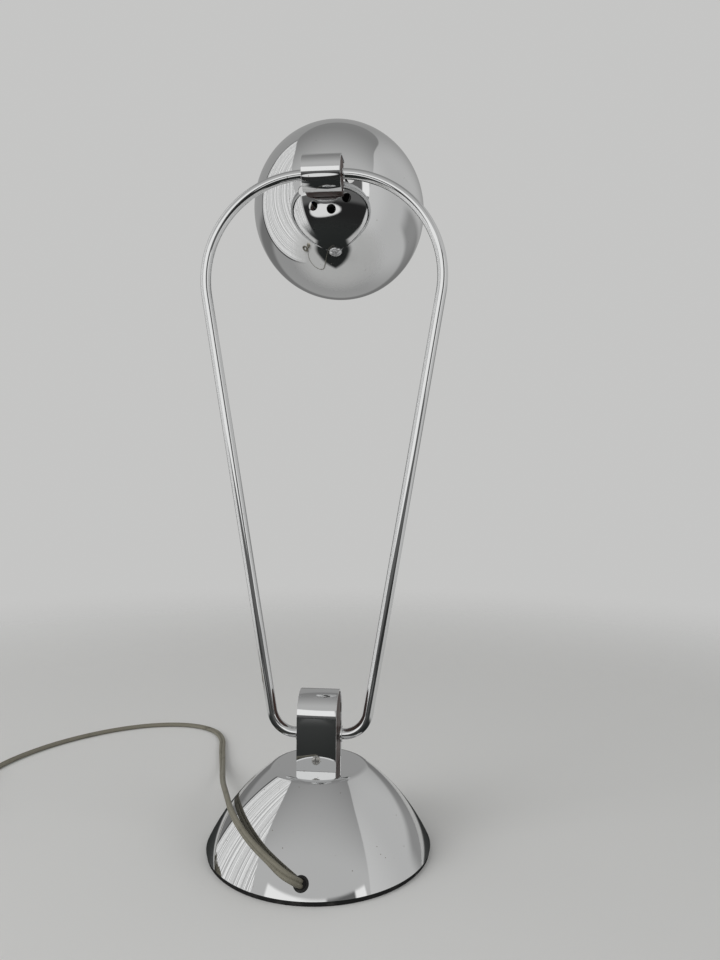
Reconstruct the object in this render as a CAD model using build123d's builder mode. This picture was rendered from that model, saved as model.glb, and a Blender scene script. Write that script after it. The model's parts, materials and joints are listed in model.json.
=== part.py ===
from math import asin, cos, pi, radians, sin, sqrt, tan
import os

from build123d import *

os.makedirs("parts", exist_ok=True)

# Driving dimensions: millimetres and degrees
# The frame: origin at the middle of the underside, +Z up, the light shines towards +Y

# Domed base
base_diameter = 135.0
dome_height = 49.5
flank_radius = 125.0
flank_lean = 26.0
shoulder_radius = 8.0
shell_wall = 1.2
pad_thickness = 2.4
pad_inset = 0.7
plate_thickness = 1.5
boss_radius = 8.0
boss_height = 9.0
weight_height = 15.0
weight_bore_radius = 27.0
weight_slot_width = 14.0
plate_screw_circle = 42.0
plate_screw_radius = 2.0
plate_screw_head = 3.8
plate_screw_length = 10.0
plate_screw_count = 3

# Clip on the base, its core and the threaded tube under it
strap_width = 23.6
strap_thickness = 1.2
base_clip_rise = 44.8
base_clip_depth = 28.0
core_recess = 0.5
clip_screw_height = 6.6
clip_screw_radius = 1.5
clip_screw_head = 2.6
clip_screw_head_height = 1.4
clip_screw_length = 6.0
stem_radius = 5.0
stem_bore_radius = 3.5
stem_above_dome = 10.5
stem_window_radius = 2.4
stem_nut_flats = 17.0
stem_nut_height = 4.0

# Bent tube
tube_radius = 3.2
tube_bore_radius = 2.2
pivot_rise = 18.2
loop_rise = 338.9
leg_foot_spread = 27.3
leg_lean = 9.46
foot_bend = 15.0
arch_bend = 62.5
tube_end_gap = 4.0
bush_radius = 4.6
bush_inset = 0.6
collar_radius = 4.7
collar_width = 1.9
lead_radius = 1.9
lead_window_radius = 1.5

# Clip on the head and the shade
head_tilt = 5.0
head_clip_radius = 11.6
head_clip_reach = 11.8
head_clip_tail = -2.8
head_lip_width = 16.0
head_lip_drop = 8.2
bore_mouth = 0.8
shade_drop = 2.1
shade_radius = 59.9
shade_half_length = 72.1
shade_pole_radius = 53.0
shade_pole_distance = 10.6
shade_past_equator = 34.0
shade_wall = 1.0
shade_bead_radius = 1.3
vent_circle = 15.2
vent_radius = 2.9
vent_count = 8
vent_turn = 33.0
head_stem_radius = 4.0
head_stem_bore_radius = 2.6
head_stem_start = 4.6
head_stem_length = 20.0
head_nut_flats = 13.0
head_nut_height = 4.0

# Lamp holder and bulb
holder_radius = 13.5
holder_length = 38.0
holder_floor = 14.0
sleeve_wall = 0.9
sleeve_lift = 2.0
sleeve_length = 21.0
contact_radius = 3.0
contact_height = 1.4
cap_radius = 6.95
cap_length = 22.0
cap_tip_radius = 2.4
cap_tip_height = 1.0
cap_collar_radius = 8.4
cap_collar_height = 1.2
bulb_radius = 22.5
bulb_neck_radius = 8.0
bulb_neck_length = 10.0
bulb_neck_blend = 8.0
bulb_wall = 0.8

# Wiring in the base
terminal_size = (18.0, 10.0, 9.0)
terminal_offset = 18.0
terminal_screw_radius = 1.8
terminal_screw_spacing = 9.0
terminal_screw_depth = 4.0
module_size = (22.0, 14.0, 10.0)
module_offset = 16.5
core_wire_radius = 1.1
core_wire_spacing = 2.6
lead_run = 12.0

# Gland and cord
gland_height = 10.0
gland_flange_radius = 4.2
gland_flange_height = 1.0
gland_neck_radius = 3.35
gland_tail_height = 1.8
gland_tail_gap = 0.25
cord_diameter = 5.0
cord_inside = 5.0
cord_straight = 8.0
cord_lift = 0.1
arc_share = 0.45

# Put-away coil, its tie and the plug
coil_centre = (-300.0, 45.0)
coil_radius = 38.0
coil_step = 5.5
coil_layer = 5.5
coil_lift = 1.2
coil_inward_halves = 7
coil_tail = 12.0
tie_width = 8.0
tie_thickness = 0.8
relief_length = 26.0
relief_radius = 5.0
plug_width = 36.0
plug_length = 40.0
plug_rounding = 5.0
pin_radius = 2.0
pin_spacing = 19.0
pin_length = 19.0

# Clearances
slip = 0.05
running = 0.05
seat_gap = 0.3
weight_gap = 0.8

# The dome's skin: a gentle flank that meets a rounder shoulder, and a flat top
rim_radius = base_diameter / 2
flank_x = rim_radius - flank_radius * cos(radians(flank_lean))
flank_z = pad_thickness - flank_radius * sin(radians(flank_lean))
shoulder_z = dome_height - shoulder_radius
shoulder_angle = asin((shoulder_z - flank_z) / (flank_radius - shoulder_radius))
shoulder_x = flank_x + (flank_radius - shoulder_radius) * cos(shoulder_angle)


def skin_radius(height, inset):
    """Distance from the axis to the flank at a height, inset from the outer skin."""
    return flank_x + sqrt((flank_radius - inset) ** 2 - (height - flank_z) ** 2)


def flank_arc(inset):
    """Ends and middle of the flank, from the rim up, inset from the outer skin."""
    reach = flank_radius - inset
    low = asin((pad_thickness - flank_z) / reach)
    angles = (low, (low + shoulder_angle) / 2, shoulder_angle)
    return [(flank_x + reach * cos(a), flank_z + reach * sin(a)) for a in angles]


def shoulder_arc(inset):
    """Ends and middle of the shoulder, from the flank up, inset from the outer skin."""
    reach = shoulder_radius - inset
    angles = (shoulder_angle, (shoulder_angle + pi / 2) / 2, pi / 2)
    return [(shoulder_x + reach * cos(a), shoulder_z + reach * sin(a)) for a in angles]


# Levels that follow from the dome's top: the frame's pivot and the head's pivot
pivot_height = dome_height + pivot_rise
loop_height = pivot_height + loop_rise

# Levels inside the base
plate_top = pad_thickness + plate_thickness
plate_radius = skin_radius(plate_top, shell_wall) - slip
weight_top = plate_top + weight_height
weight_radius = skin_radius(weight_top, shell_wall) - weight_gap
dome_underside = dome_height - shell_wall
stem_top = dome_height + stem_above_dome

# The gland stands square on the flank at the back
gland_angle = asin((gland_height - flank_z) / flank_radius)
gland_out = Vector(0, -cos(gland_angle), sin(gland_angle))
gland_point = Vector(0, -skin_radius(gland_height, 0), gland_height)
gland_plane = Plane(origin=gland_point, x_dir=(1, 0, 0), z_dir=gland_out)
gland_hole_radius = gland_neck_radius + slip

# Base shell
with BuildPart() as base_shell:
    with BuildSketch(Plane.XZ):
        with BuildLine():
            outer_flank = ThreePointArc(*flank_arc(0))
            outer_shoulder = ThreePointArc(*shoulder_arc(0))
            inner_flank = ThreePointArc(*flank_arc(shell_wall))
            inner_shoulder = ThreePointArc(*shoulder_arc(shell_wall))
            Line(outer_shoulder @ 1, (stem_radius + slip, dome_height))
            Line((stem_radius + slip, dome_height), (stem_radius + slip, dome_underside))
            Line((stem_radius + slip, dome_underside), inner_shoulder @ 1)
            Line(inner_flank @ 0, outer_flank @ 0)
        make_face()
    revolve(axis=Axis.Z)
    with BuildSketch(gland_plane):
        Circle(gland_hole_radius)
    extrude(amount=base_diameter / 8, both=True, mode=Mode.SUBTRACT)

# Foot pad: the black band that the lamp stands on
with BuildPart() as foot_pad:
    Cylinder(rim_radius - pad_inset, pad_thickness, align=(Align.CENTER, Align.CENTER, Align.MIN))


# Plate screws share their places with the plate's and the weight's holes
def screw_places():
    return PolarLocations(plate_screw_circle, plate_screw_count, start_angle=90)


def countersunk(radius, head, length, spare):
    """A countersunk screw's shape, standing up from the plate's underside."""
    cone = head - radius
    with BuildPart() as shape:
        with BuildSketch(Plane.XZ):
            with BuildLine():
                Polyline(
                    (0, 0),
                    (head + spare, 0),
                    (radius + spare, cone),
                    (radius + spare, length),
                    (0, length),
                    close=True,
                )
            make_face()
        revolve(axis=Axis.Z)
    return shape.part


plate_screw = countersunk(plate_screw_radius, plate_screw_head, plate_screw_length, 0)
plate_screw_hole = countersunk(plate_screw_radius, plate_screw_head, plate_screw_length, slip)

# Base plate with the boss that the stem screws into
with BuildPart() as base_plate:
    with Locations((0, 0, pad_thickness)):
        Cylinder(plate_radius, plate_thickness, align=(Align.CENTER, Align.CENTER, Align.MIN))
    with Locations((0, 0, plate_top)):
        Cylinder(boss_radius, boss_height, align=(Align.CENTER, Align.CENTER, Align.MIN))
        Cylinder(
            stem_radius + slip,
            boss_height,
            align=(Align.CENTER, Align.CENTER, Align.MIN),
            mode=Mode.SUBTRACT,
        )
    with Locations((0, 0, pad_thickness)):
        with screw_places():
            add(plate_screw_hole, mode=Mode.SUBTRACT)

# Plate screws
with BuildPart() as plate_screws:
    with Locations((0, 0, pad_thickness)):
        with screw_places():
            add(plate_screw)

# Ballast ring with a slot at the back for the leads
with BuildPart() as base_weight:
    with Locations((0, 0, plate_top)):
        Cylinder(weight_radius, weight_height, align=(Align.CENTER, Align.CENTER, Align.MIN))
        Cylinder(
            weight_bore_radius,
            weight_height,
            align=(Align.CENTER, Align.CENTER, Align.MIN),
            mode=Mode.SUBTRACT,
        )
        Box(
            weight_slot_width,
            weight_radius,
            weight_height,
            align=(Align.CENTER, Align.MAX, Align.MIN),
            mode=Mode.SUBTRACT,
        )
    with Locations((0, 0, pad_thickness)):
        with screw_places():
            add(plate_screw_hole, mode=Mode.SUBTRACT)

# Threaded tube that ties the clip's core, the dome and the plate together
with BuildPart() as clip_stem:
    with BuildSketch(Plane.XY.offset(plate_top)):
        Circle(stem_radius)
        Circle(stem_bore_radius, mode=Mode.SUBTRACT)
    extrude(amount=stem_top - plate_top)
    with BuildSketch(Plane.XZ):
        with Locations((0, plate_top + boss_height + 2 * stem_window_radius)):
            Circle(stem_window_radius)
    extrude(amount=stem_radius, both=True, mode=Mode.SUBTRACT)

# Lock nut under the dome's top
with BuildPart() as stem_nut:
    with BuildSketch(Plane.XY.offset(dome_underside)):
        RegularPolygon(stem_nut_flats / 2, 6, major_radius=False)
        Circle(stem_radius + slip, mode=Mode.SUBTRACT)
    extrude(amount=-stem_nut_height)

# Base clip: a strap over the core, standing on the dome's flat top
clip_arc_height = dome_height + base_clip_rise - base_clip_depth / 2
clip_leg_height = clip_arc_height - dome_height
clip_inner_depth = base_clip_depth - 2 * strap_thickness
screw_level = dome_height + clip_screw_height
with BuildPart() as base_clip:
    with BuildSketch(Plane.YZ):
        with Locations((0, clip_arc_height)):
            Circle(base_clip_depth / 2)
        with Locations((0, dome_height)):
            Rectangle(base_clip_depth, clip_leg_height, align=(Align.CENTER, Align.MIN))
        with Locations((0, clip_arc_height)):
            Circle(clip_inner_depth / 2, mode=Mode.SUBTRACT)
        with Locations((0, dome_height)):
            Rectangle(
                clip_inner_depth,
                clip_leg_height,
                align=(Align.CENTER, Align.MIN),
                mode=Mode.SUBTRACT,
            )
    extrude(amount=strap_width / 2, both=True)
    with BuildSketch(Plane.XZ):
        with Locations((0, screw_level)):
            Circle(clip_screw_radius + slip)
    extrude(amount=base_clip_depth, both=True, mode=Mode.SUBTRACT)

# Core of the base clip, with the bore that the pivot bushes sit in
core_half = strap_width / 2 - core_recess
core_depth = clip_inner_depth - 2 * slip
with BuildPart() as base_clip_core:
    with BuildSketch(Plane.YZ):
        with Locations((0, clip_arc_height)):
            Circle(core_depth / 2)
        with Locations((0, dome_height)):
            Rectangle(core_depth, clip_leg_height, align=(Align.CENTER, Align.MIN))
    extrude(amount=core_half, both=True)
    with BuildSketch(Plane.YZ):
        with Locations((0, pivot_height)):
            Circle(bush_radius + slip)
    extrude(amount=core_half, both=True, mode=Mode.SUBTRACT)
    with Locations((0, 0, dome_height)):
        Cylinder(
            stem_radius + slip,
            stem_above_dome,
            align=(Align.CENTER, Align.CENTER, Align.MIN),
            mode=Mode.SUBTRACT,
        )
        Cylinder(
            stem_bore_radius,
            pivot_height - dome_height,
            align=(Align.CENTER, Align.CENTER, Align.MIN),
            mode=Mode.SUBTRACT,
        )
    for side in (-1, 1):
        with BuildSketch(Plane.XZ.offset(side * core_depth / 2)):
            with Locations((0, screw_level)):
                Circle(clip_screw_radius + slip)
        extrude(amount=-side * clip_screw_length, mode=Mode.SUBTRACT)

# Screws that hold the strap's legs to the core
with BuildPart() as clip_screws:
    for side in (-1, 1):
        with BuildSketch(Plane.XZ.offset(side * base_clip_depth / 2)):
            with Locations((0, screw_level)):
                Circle(clip_screw_radius)
        extrude(amount=-side * (strap_thickness + clip_screw_length - seat_gap))
        with BuildSketch(Plane.XZ.offset(side * base_clip_depth / 2)):
            with Locations((0, screw_level)):
                Circle(clip_screw_head)
        extrude(amount=side * clip_screw_head_height)
    head_rims = clip_screws.edges().group_by(Axis.Y)
    fillet(head_rims[0] + head_rims[-1], radius=clip_screw_head_height * 0.7)

# Friction bushes round the tube's ends
with BuildPart() as pivot_bushes:
    for side in (-1, 1):
        with BuildSketch(Plane.YZ.offset(side * (core_half - bush_inset))):
            with Locations((0, pivot_height)):
                Circle(bush_radius)
                Circle(tube_radius + running, mode=Mode.SUBTRACT)
        extrude(amount=-side * (core_half - bush_inset - tube_end_gap))

# Bent tube: two short runs into the clip, two legs and an arch
arch_corner = leg_foot_spread + (loop_height - pivot_height) * tan(radians(leg_lean))
loop_points = [
    (-tube_end_gap, pivot_height),
    (-leg_foot_spread, pivot_height),
    (-arch_corner, loop_height),
    (arch_corner, loop_height),
    (leg_foot_spread, pivot_height),
    (tube_end_gap, pivot_height),
]
with BuildPart() as frame_tube:
    with BuildLine(Plane.XZ) as loop:
        FilletPolyline(*loop_points, radius=[foot_bend, arch_bend, arch_bend, foot_bend])
    with BuildSketch(Plane(origin=loop.line @ 0, z_dir=loop.line % 0)):
        Circle(tube_radius)
        Circle(tube_bore_radius, mode=Mode.SUBTRACT)
    sweep()
    with BuildSketch(Plane.XZ):
        with Locations((0, loop_height)):
            Circle(lead_window_radius)
    extrude(amount=-2 * tube_radius, mode=Mode.SUBTRACT)

# Lead inside the tube, up one leg to the window under the head clip
with BuildPart() as frame_leads:
    with BuildLine(Plane.XZ) as lead_route:
        FilletPolyline(*loop_points[:3], (0, loop_height), radius=[foot_bend, arch_bend])
    with BuildSketch(Plane(origin=lead_route.line @ 0, z_dir=lead_route.line % 0)):
        Circle(lead_radius)
    sweep()

# Collars where the tube enters the clip
with BuildPart() as tube_collars:
    for side in (-1, 1):
        with BuildSketch(Plane.YZ.offset(side * (strap_width / 2 + seat_gap))):
            with Locations((0, pivot_height)):
                Circle(collar_radius)
                Circle(tube_radius + slip, mode=Mode.SUBTRACT)
        extrude(amount=side * collar_width)

# The head's own planes: the clip's round the loop's top run, and the shade's a little below it
light_axis = Vector(0, cos(radians(head_tilt)), sin(radians(head_tilt)))
head_up = Vector(1, 0, 0).cross(light_axis)
head_origin = Vector(0, 0, loop_height)
clip_plane = Plane(origin=head_origin, x_dir=(1, 0, 0), z_dir=light_axis)
side_plane = Plane(origin=head_origin, x_dir=light_axis, z_dir=(1, 0, 0))
shade_origin = head_origin - head_up * shade_drop
shade_plane = Plane(origin=shade_origin, x_dir=(1, 0, 0), z_dir=light_axis)
meridian_plane = Plane(origin=shade_origin, x_dir=(1, 0, 0), z_dir=head_up)
shade_axis = Axis(shade_origin, light_axis)
head_inner_radius = head_clip_radius - strap_thickness
lip_start = head_clip_reach - strap_thickness

# Head clip: a strap rolled over the core, its upper end bent down behind the shade
with BuildPart() as head_clip:
    with BuildSketch(side_plane):
        Circle(head_clip_radius)
        Rectangle(head_clip_reach, 2 * head_clip_radius, align=(Align.MIN, Align.CENTER))
        Circle(head_inner_radius, mode=Mode.SUBTRACT)
        Rectangle(lip_start, 2 * head_inner_radius, align=(Align.MIN, Align.CENTER), mode=Mode.SUBTRACT)
        with Locations((head_clip_tail, -head_lip_drop)):
            Rectangle(
                2 * head_clip_reach,
                2 * head_clip_radius,
                align=(Align.MIN, Align.MAX),
                mode=Mode.SUBTRACT,
            )
    extrude(amount=strap_width / 2, both=True)
    with BuildSketch(clip_plane.offset(lip_start)):
        for side in (-1, 1):
            with Locations((side * (strap_width + head_lip_width) / 4, 0)):
                Rectangle((strap_width - head_lip_width) / 2, 2 * head_inner_radius)
        with Locations((0, shade_drop)):
            Circle(head_stem_radius + slip)
    extrude(amount=strap_thickness, mode=Mode.SUBTRACT)

# Core of the head clip, bored for the tube
with BuildPart() as head_clip_core:
    with BuildSketch(side_plane):
        Circle(head_inner_radius - slip)
        Rectangle(lip_start, 2 * (head_inner_radius - slip), align=(Align.MIN, Align.CENTER))
    extrude(amount=core_half, both=True)
    with BuildSketch(side_plane):
        Circle(tube_radius + running)
    extrude(amount=core_half, both=True, mode=Mode.SUBTRACT)
    bore_rims = head_clip_core.edges().filter_by(GeomType.CIRCLE)
    mouth_rims = [e for e in bore_rims if abs(e.radius - tube_radius - running) < slip / 2]
    chamfer(mouth_rims, length=bore_mouth)
    with BuildSketch(shade_plane):
        Circle(head_stem_radius + slip)
    extrude(amount=lip_start, mode=Mode.SUBTRACT)

# Shade: an egg of two arcs, flattened where the clip sits, open at the front
pole_centre = shade_pole_distance + shade_pole_radius
shade_centre = shade_pole_distance + shade_half_length
pole_shift = shade_half_length - shade_pole_radius
swell_radius = (pole_shift**2 + shade_radius**2 - shade_pole_radius**2) / (
    2 * (shade_radius - shade_pole_radius)
)
swell_x = shade_radius - swell_radius
meeting_angle = -asin(pole_shift / (swell_radius - shade_pole_radius))
mouth_distance = shade_centre + shade_past_equator


def egg_arcs(inset):
    """Pole arc and side arc of the shade in its meridian, from the seat to the mouth."""
    pole_reach = shade_pole_radius - inset
    seat_angle = asin((head_clip_reach + inset - pole_centre) / pole_reach)
    pole_angles = (seat_angle, (seat_angle + meeting_angle) / 2, meeting_angle)
    pole = [(pole_reach * cos(a), pole_centre + pole_reach * sin(a)) for a in pole_angles]
    reach = swell_radius - inset
    mouth_angle = asin(shade_past_equator / reach)
    angles = (meeting_angle, (meeting_angle + mouth_angle) / 2, mouth_angle)
    swell = [(swell_x + reach * cos(a), shade_centre + reach * sin(a)) for a in angles]
    return pole, swell


outer_pole, outer_swell = egg_arcs(0)
inner_pole, inner_swell = egg_arcs(shade_wall)
with BuildPart() as shade:
    with BuildSketch(meridian_plane):
        with BuildLine():
            ThreePointArc(*outer_pole)
            ThreePointArc(*outer_swell)
            Line(outer_swell[-1], inner_swell[-1])
            ThreePointArc(*inner_swell)
            ThreePointArc(*inner_pole)
            Line(inner_pole[0], (head_stem_radius + slip, head_clip_reach + shade_wall))
            Line(
                (head_stem_radius + slip, head_clip_reach + shade_wall),
                (head_stem_radius + slip, head_clip_reach),
            )
            Line((head_stem_radius + slip, head_clip_reach), outer_pole[0])
        make_face()
        with Locations(((outer_swell[-1][0] + inner_swell[-1][0]) / 2, mouth_distance)):
            Circle(shade_bead_radius)
    revolve(axis=shade_axis)
    with BuildSketch(shade_plane):
        with PolarLocations(vent_circle, vent_count, start_angle=vent_turn):
            Circle(vent_radius)
    extrude(amount=pole_centre, mode=Mode.SUBTRACT)

# Threaded tube through the back of the shade, and its nut
with BuildPart() as head_stem:
    with BuildSketch(shade_plane.offset(head_stem_start)):
        Circle(head_stem_radius)
        Circle(head_stem_bore_radius, mode=Mode.SUBTRACT)
    extrude(amount=head_stem_length)

nut_seat = head_clip_reach + shade_wall
with BuildPart() as head_nut:
    with BuildSketch(shade_plane.offset(nut_seat)):
        RegularPolygon(head_nut_flats / 2, 6, major_radius=False)
        Circle(head_stem_radius + slip, mode=Mode.SUBTRACT)
    extrude(amount=head_nut_height)

# Lamp holder, screwed on to the end of the threaded tube
holder_seat = nut_seat + head_nut_height
holder_floor_top = holder_seat + holder_floor
sleeve_inner_radius = cap_radius + seat_gap
sleeve_outer_radius = sleeve_inner_radius + sleeve_wall
with BuildPart() as lamp_holder:
    with BuildSketch(shade_plane.offset(holder_seat)):
        Circle(holder_radius)
    extrude(amount=holder_length)
    with BuildSketch(shade_plane.offset(holder_seat)):
        Circle(head_stem_radius + slip)
    extrude(amount=holder_floor, mode=Mode.SUBTRACT)
    with BuildSketch(shade_plane.offset(holder_floor_top)):
        Circle(sleeve_outer_radius + slip)
    extrude(amount=holder_length, mode=Mode.SUBTRACT)

# Screw sleeve in the holder
with BuildPart() as holder_sleeve:
    with BuildSketch(shade_plane.offset(holder_floor_top + sleeve_lift)):
        Circle(sleeve_outer_radius)
        Circle(sleeve_inner_radius, mode=Mode.SUBTRACT)
    extrude(amount=sleeve_length)

# Centre contact: a disc on the holder's floor with a nose that meets the bulb
contact_foot = sleeve_outer_radius - sleeve_wall
with BuildPart() as holder_contact:
    with BuildSketch(shade_plane.offset(holder_floor_top)):
        Circle(contact_foot)
    extrude(amount=contact_height / 2)
    with BuildSketch(shade_plane.offset(holder_floor_top)):
        Circle(contact_radius)
    extrude(amount=contact_height)

# Bulb cap, screwed into the sleeve
cap_start = holder_floor_top + contact_height
cap_end = cap_start + cap_tip_height + cap_length
with BuildPart() as bulb_cap:
    with BuildSketch(shade_plane.offset(cap_start)):
        Circle(cap_tip_radius)
    extrude(amount=cap_tip_height)
    with BuildSketch(shade_plane.offset(cap_start + cap_tip_height)):
        Circle(cap_radius)
    extrude(amount=cap_length)
    with BuildSketch(shade_plane.offset(cap_end)):
        Circle(cap_collar_radius)
    extrude(amount=cap_collar_height)

# Bulb glass: a hollow ball on a neck
glass_start = cap_end + cap_collar_height
ball_centre = glass_start + bulb_neck_length + sqrt(bulb_radius**2 - bulb_neck_radius**2)
bulb_inner_radius = bulb_radius - bulb_wall
neck_inner_radius = bulb_neck_radius - bulb_wall
with BuildPart() as bulb_glass:
    with BuildSketch(meridian_plane) as glass_section:
        with Locations((0, ball_centre)):
            Circle(bulb_radius)
        with Locations((0, glass_start)):
            Rectangle(2 * bulb_neck_radius, ball_centre - glass_start, align=(Align.CENTER, Align.MIN))
        with Locations((0, ball_centre)):
            Circle(bulb_inner_radius, mode=Mode.SUBTRACT)
        with Locations((0, glass_start)):
            Rectangle(
                2 * neck_inner_radius,
                ball_centre - glass_start,
                align=(Align.CENTER, Align.MIN),
                mode=Mode.SUBTRACT,
            )
        with Locations((0, glass_start)):
            Rectangle(2 * bulb_radius, 4 * bulb_radius, align=(Align.MAX, Align.MIN), mode=Mode.SUBTRACT)
    revolve(axis=shade_axis)

# Terminal block and its screws
terminal_top = plate_top + terminal_size[2]
terminal_places = [(side * terminal_screw_spacing / 2, -terminal_offset) for side in (-1, 1)]
with BuildPart() as terminal_block:
    with Locations((0, -terminal_offset, plate_top)):
        Box(*terminal_size, align=(Align.CENTER, Align.CENTER, Align.MIN))
    with BuildSketch(Plane.XY.offset(terminal_top)):
        with Locations(*terminal_places):
            Circle(terminal_screw_radius + slip)
    extrude(amount=-terminal_screw_depth, mode=Mode.SUBTRACT)

with BuildPart() as terminal_screws:
    with BuildSketch(Plane.XY.offset(terminal_top - terminal_screw_depth)):
        with Locations(*terminal_places):
            Circle(terminal_screw_radius)
    extrude(amount=terminal_screw_depth)

# Touch switch module beside it
with BuildPart() as touch_module:
    with Locations((0, module_offset, plate_top)):
        Box(*module_size, align=(Align.CENTER, Align.CENTER, Align.MIN))

# Gland: flange outside, neck in the wall, collar inside
with BuildPart() as cord_gland:
    with BuildSketch(gland_plane):
        Circle(gland_flange_radius)
    extrude(amount=gland_flange_height)
    with BuildSketch(gland_plane):
        Circle(gland_neck_radius)
    extrude(amount=-(shell_wall + gland_tail_gap))
    with BuildSketch(gland_plane.offset(-(shell_wall + gland_tail_gap))):
        Circle(gland_flange_radius)
    extrude(amount=-gland_tail_height)
    with BuildSketch(gland_plane.offset(gland_flange_height)):
        Circle(cord_diameter / 2 + slip)
    extrude(amount=-2 * cord_diameter, mode=Mode.SUBTRACT)

# Cord from the gland, over the dome's left flank and along the table to the coil
table_line = cord_diameter / 2 + cord_lift
coil_line = cord_diameter / 2 + coil_lift
coil_start = Vector(coil_centre[0] + coil_radius, coil_centre[1], coil_line)
cord_start = gland_point - gland_out * cord_inside
cord_points = [
    cord_start,
    gland_point + gland_out * cord_straight,
    (-8, -71.5, 18.8),
    (-18, -63.5, 22),
    (-28, -55, 25),
    (-37.4, -45, 28.8),
    (-46.5, -31, 31.5),
    (-54.5, -11, 31.5),
    (-62, 11, 26.5),
    (-72.5, 44, 17),
    (-83, 80, 8.2),
    (-92, 112, 3.4),
    (-101, 142, table_line),
    (-107, 166, table_line),
    (-120, 188, table_line),
    (-147, 200, table_line),
    (-181, 195, table_line),
    (-213, 175, table_line),
    (-240, 144, table_line),
    (-256, 110, table_line),
    (-261, 84, coil_line),
    coil_start + Vector(0, 3.2 * cord_diameter, 0),
    coil_start,
]


def largest_radii(points):
    """Radius at each corner of a route: as large as its two runs allow."""
    spots = [Vector(p) for p in points]
    radii = []
    for before, here, after in zip(spots, spots[1:], spots[2:]):
        half_turn = radians((here - before).get_angle(after - here)) / 2
        shorter = min((here - before).length, (after - here).length)
        radii.append(arc_share * shorter / tan(half_turn))
    return radii


cord_radii = largest_radii(cord_points)
with BuildPart() as cord_lead:
    with BuildLine() as cord_route:
        FilletPolyline(*cord_points, radius=cord_radii)
    with BuildSketch(Plane(origin=cord_route.line @ 0, z_dir=cord_route.line % 0)):
        Circle(cord_diameter / 2)
    sweep()

# Coil: half turns that spiral in on the table, climb one layer and spiral out on top
outward_halves = coil_inward_halves - 1
coil_shares = [half / 2 for half in range(coil_inward_halves + 1)]
coil_shares.append((coil_inward_halves + 1) / 2)
coil_shares += [(outward_halves - 1 - half) / 2 for half in range(outward_halves)]
climb = coil_inward_halves
coil_spots = []
for half, share in enumerate(coil_shares):
    side = 1 if half % 2 == 0 else -1
    level = coil_line if half <= climb else coil_line + coil_layer
    reach = side * (coil_radius - share * coil_step)
    coil_spots.append(Vector(coil_centre[0] + reach, coil_centre[1], level))
coil_end = coil_spots[-1] - Vector(0, coil_tail, 0)
with BuildPart() as cord_coil:
    with BuildLine() as coil_route:
        heading = Vector(0, -1, 0)
        for half, (here, there) in enumerate(zip(coil_spots, coil_spots[1:])):
            if half == climb:
                middle = (here + there) / 2
                bow = sqrt((there - here).length ** 2 / 4)
                crest = middle + Vector(0, heading.Y, 0).normalized() * bow
                first = TangentArc(here, crest, tangent=heading)
                turn = TangentArc(crest, there, tangent=first % 1)
            else:
                turn = TangentArc(here, there, tangent=heading)
            heading = turn % 1
        Line(coil_spots[-1], coil_end)
    with BuildSketch(Plane(origin=coil_spots[0], z_dir=(0, -1, 0))):
        Circle(cord_diameter / 2)
    sweep()

# Tie round the coil's bundle, on the side away from the lamp
bundle_inner = coil_radius - coil_step * coil_inward_halves / 2 - cord_diameter / 2
bundle_outer = coil_radius - coil_step / 2 + cord_diameter / 2
bow_allowance = (tie_width / 2) ** 2 / (2 * bundle_inner)
tie_inner = bundle_inner - bow_allowance - seat_gap
tie_outer = bundle_outer + seat_gap
tie_low = coil_lift - seat_gap
tie_high = coil_line + coil_layer + cord_diameter / 2 + seat_gap
with BuildPart() as cord_tie:
    with BuildSketch(Plane.XZ.offset(-coil_centre[1])):
        with Locations((coil_centre[0] - (tie_inner + tie_outer) / 2, (tie_low + tie_high) / 2)):
            Rectangle(tie_outer - tie_inner + 2 * tie_thickness, tie_high - tie_low + 2 * tie_thickness)
            Rectangle(tie_outer - tie_inner, tie_high - tie_low, mode=Mode.SUBTRACT)
    extrude(amount=tie_width / 2, both=True)

# Plug: tapered relief, body and two round pins
plug_plane = Plane(origin=coil_end, x_dir=(1, 0, 0), z_dir=(0, -1, 0))
with BuildPart() as plug_relief:
    with BuildSketch(plug_plane):
        Circle(cord_diameter / 2)
    with BuildSketch(plug_plane.offset(relief_length)):
        Circle(relief_radius)
    loft()

plug_thickness = 2 * coil_end.Z
with BuildPart() as plug_body:
    with BuildSketch(plug_plane.offset(relief_length)):
        RectangleRounded(plug_width, plug_thickness, plug_rounding)
    extrude(amount=plug_length)

with BuildPart() as plug_pins:
    with BuildSketch(plug_plane.offset(relief_length + plug_length)):
        with GridLocations(pin_spacing, 0, 2, 1):
            Circle(pin_radius)
    extrude(amount=pin_length)

# Leads from the cord's end to the terminal block
lead_height = plate_top + terminal_size[2] / 2
terminal_back = terminal_offset + terminal_size[1] / 2
lead_dip = cord_start - gland_out * cord_diameter / 2
lead_end = Vector(0, -terminal_back, lead_height)
wire_points = [cord_start, lead_dip, lead_end - Vector(0, lead_run, 0), lead_end]
with BuildPart() as supply_leads:
    for side in (-1, 1):
        shift = Vector(side * core_wire_spacing / 2, 0, 0)
        with BuildLine() as wire_route:
            FilletPolyline(*[p + shift for p in wire_points], radius=core_wire_spacing)
        with BuildSketch(Plane(origin=wire_route.line @ 0, z_dir=wire_route.line % 0)):
            Circle(core_wire_radius)
        sweep(path=wire_route.line)

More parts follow.
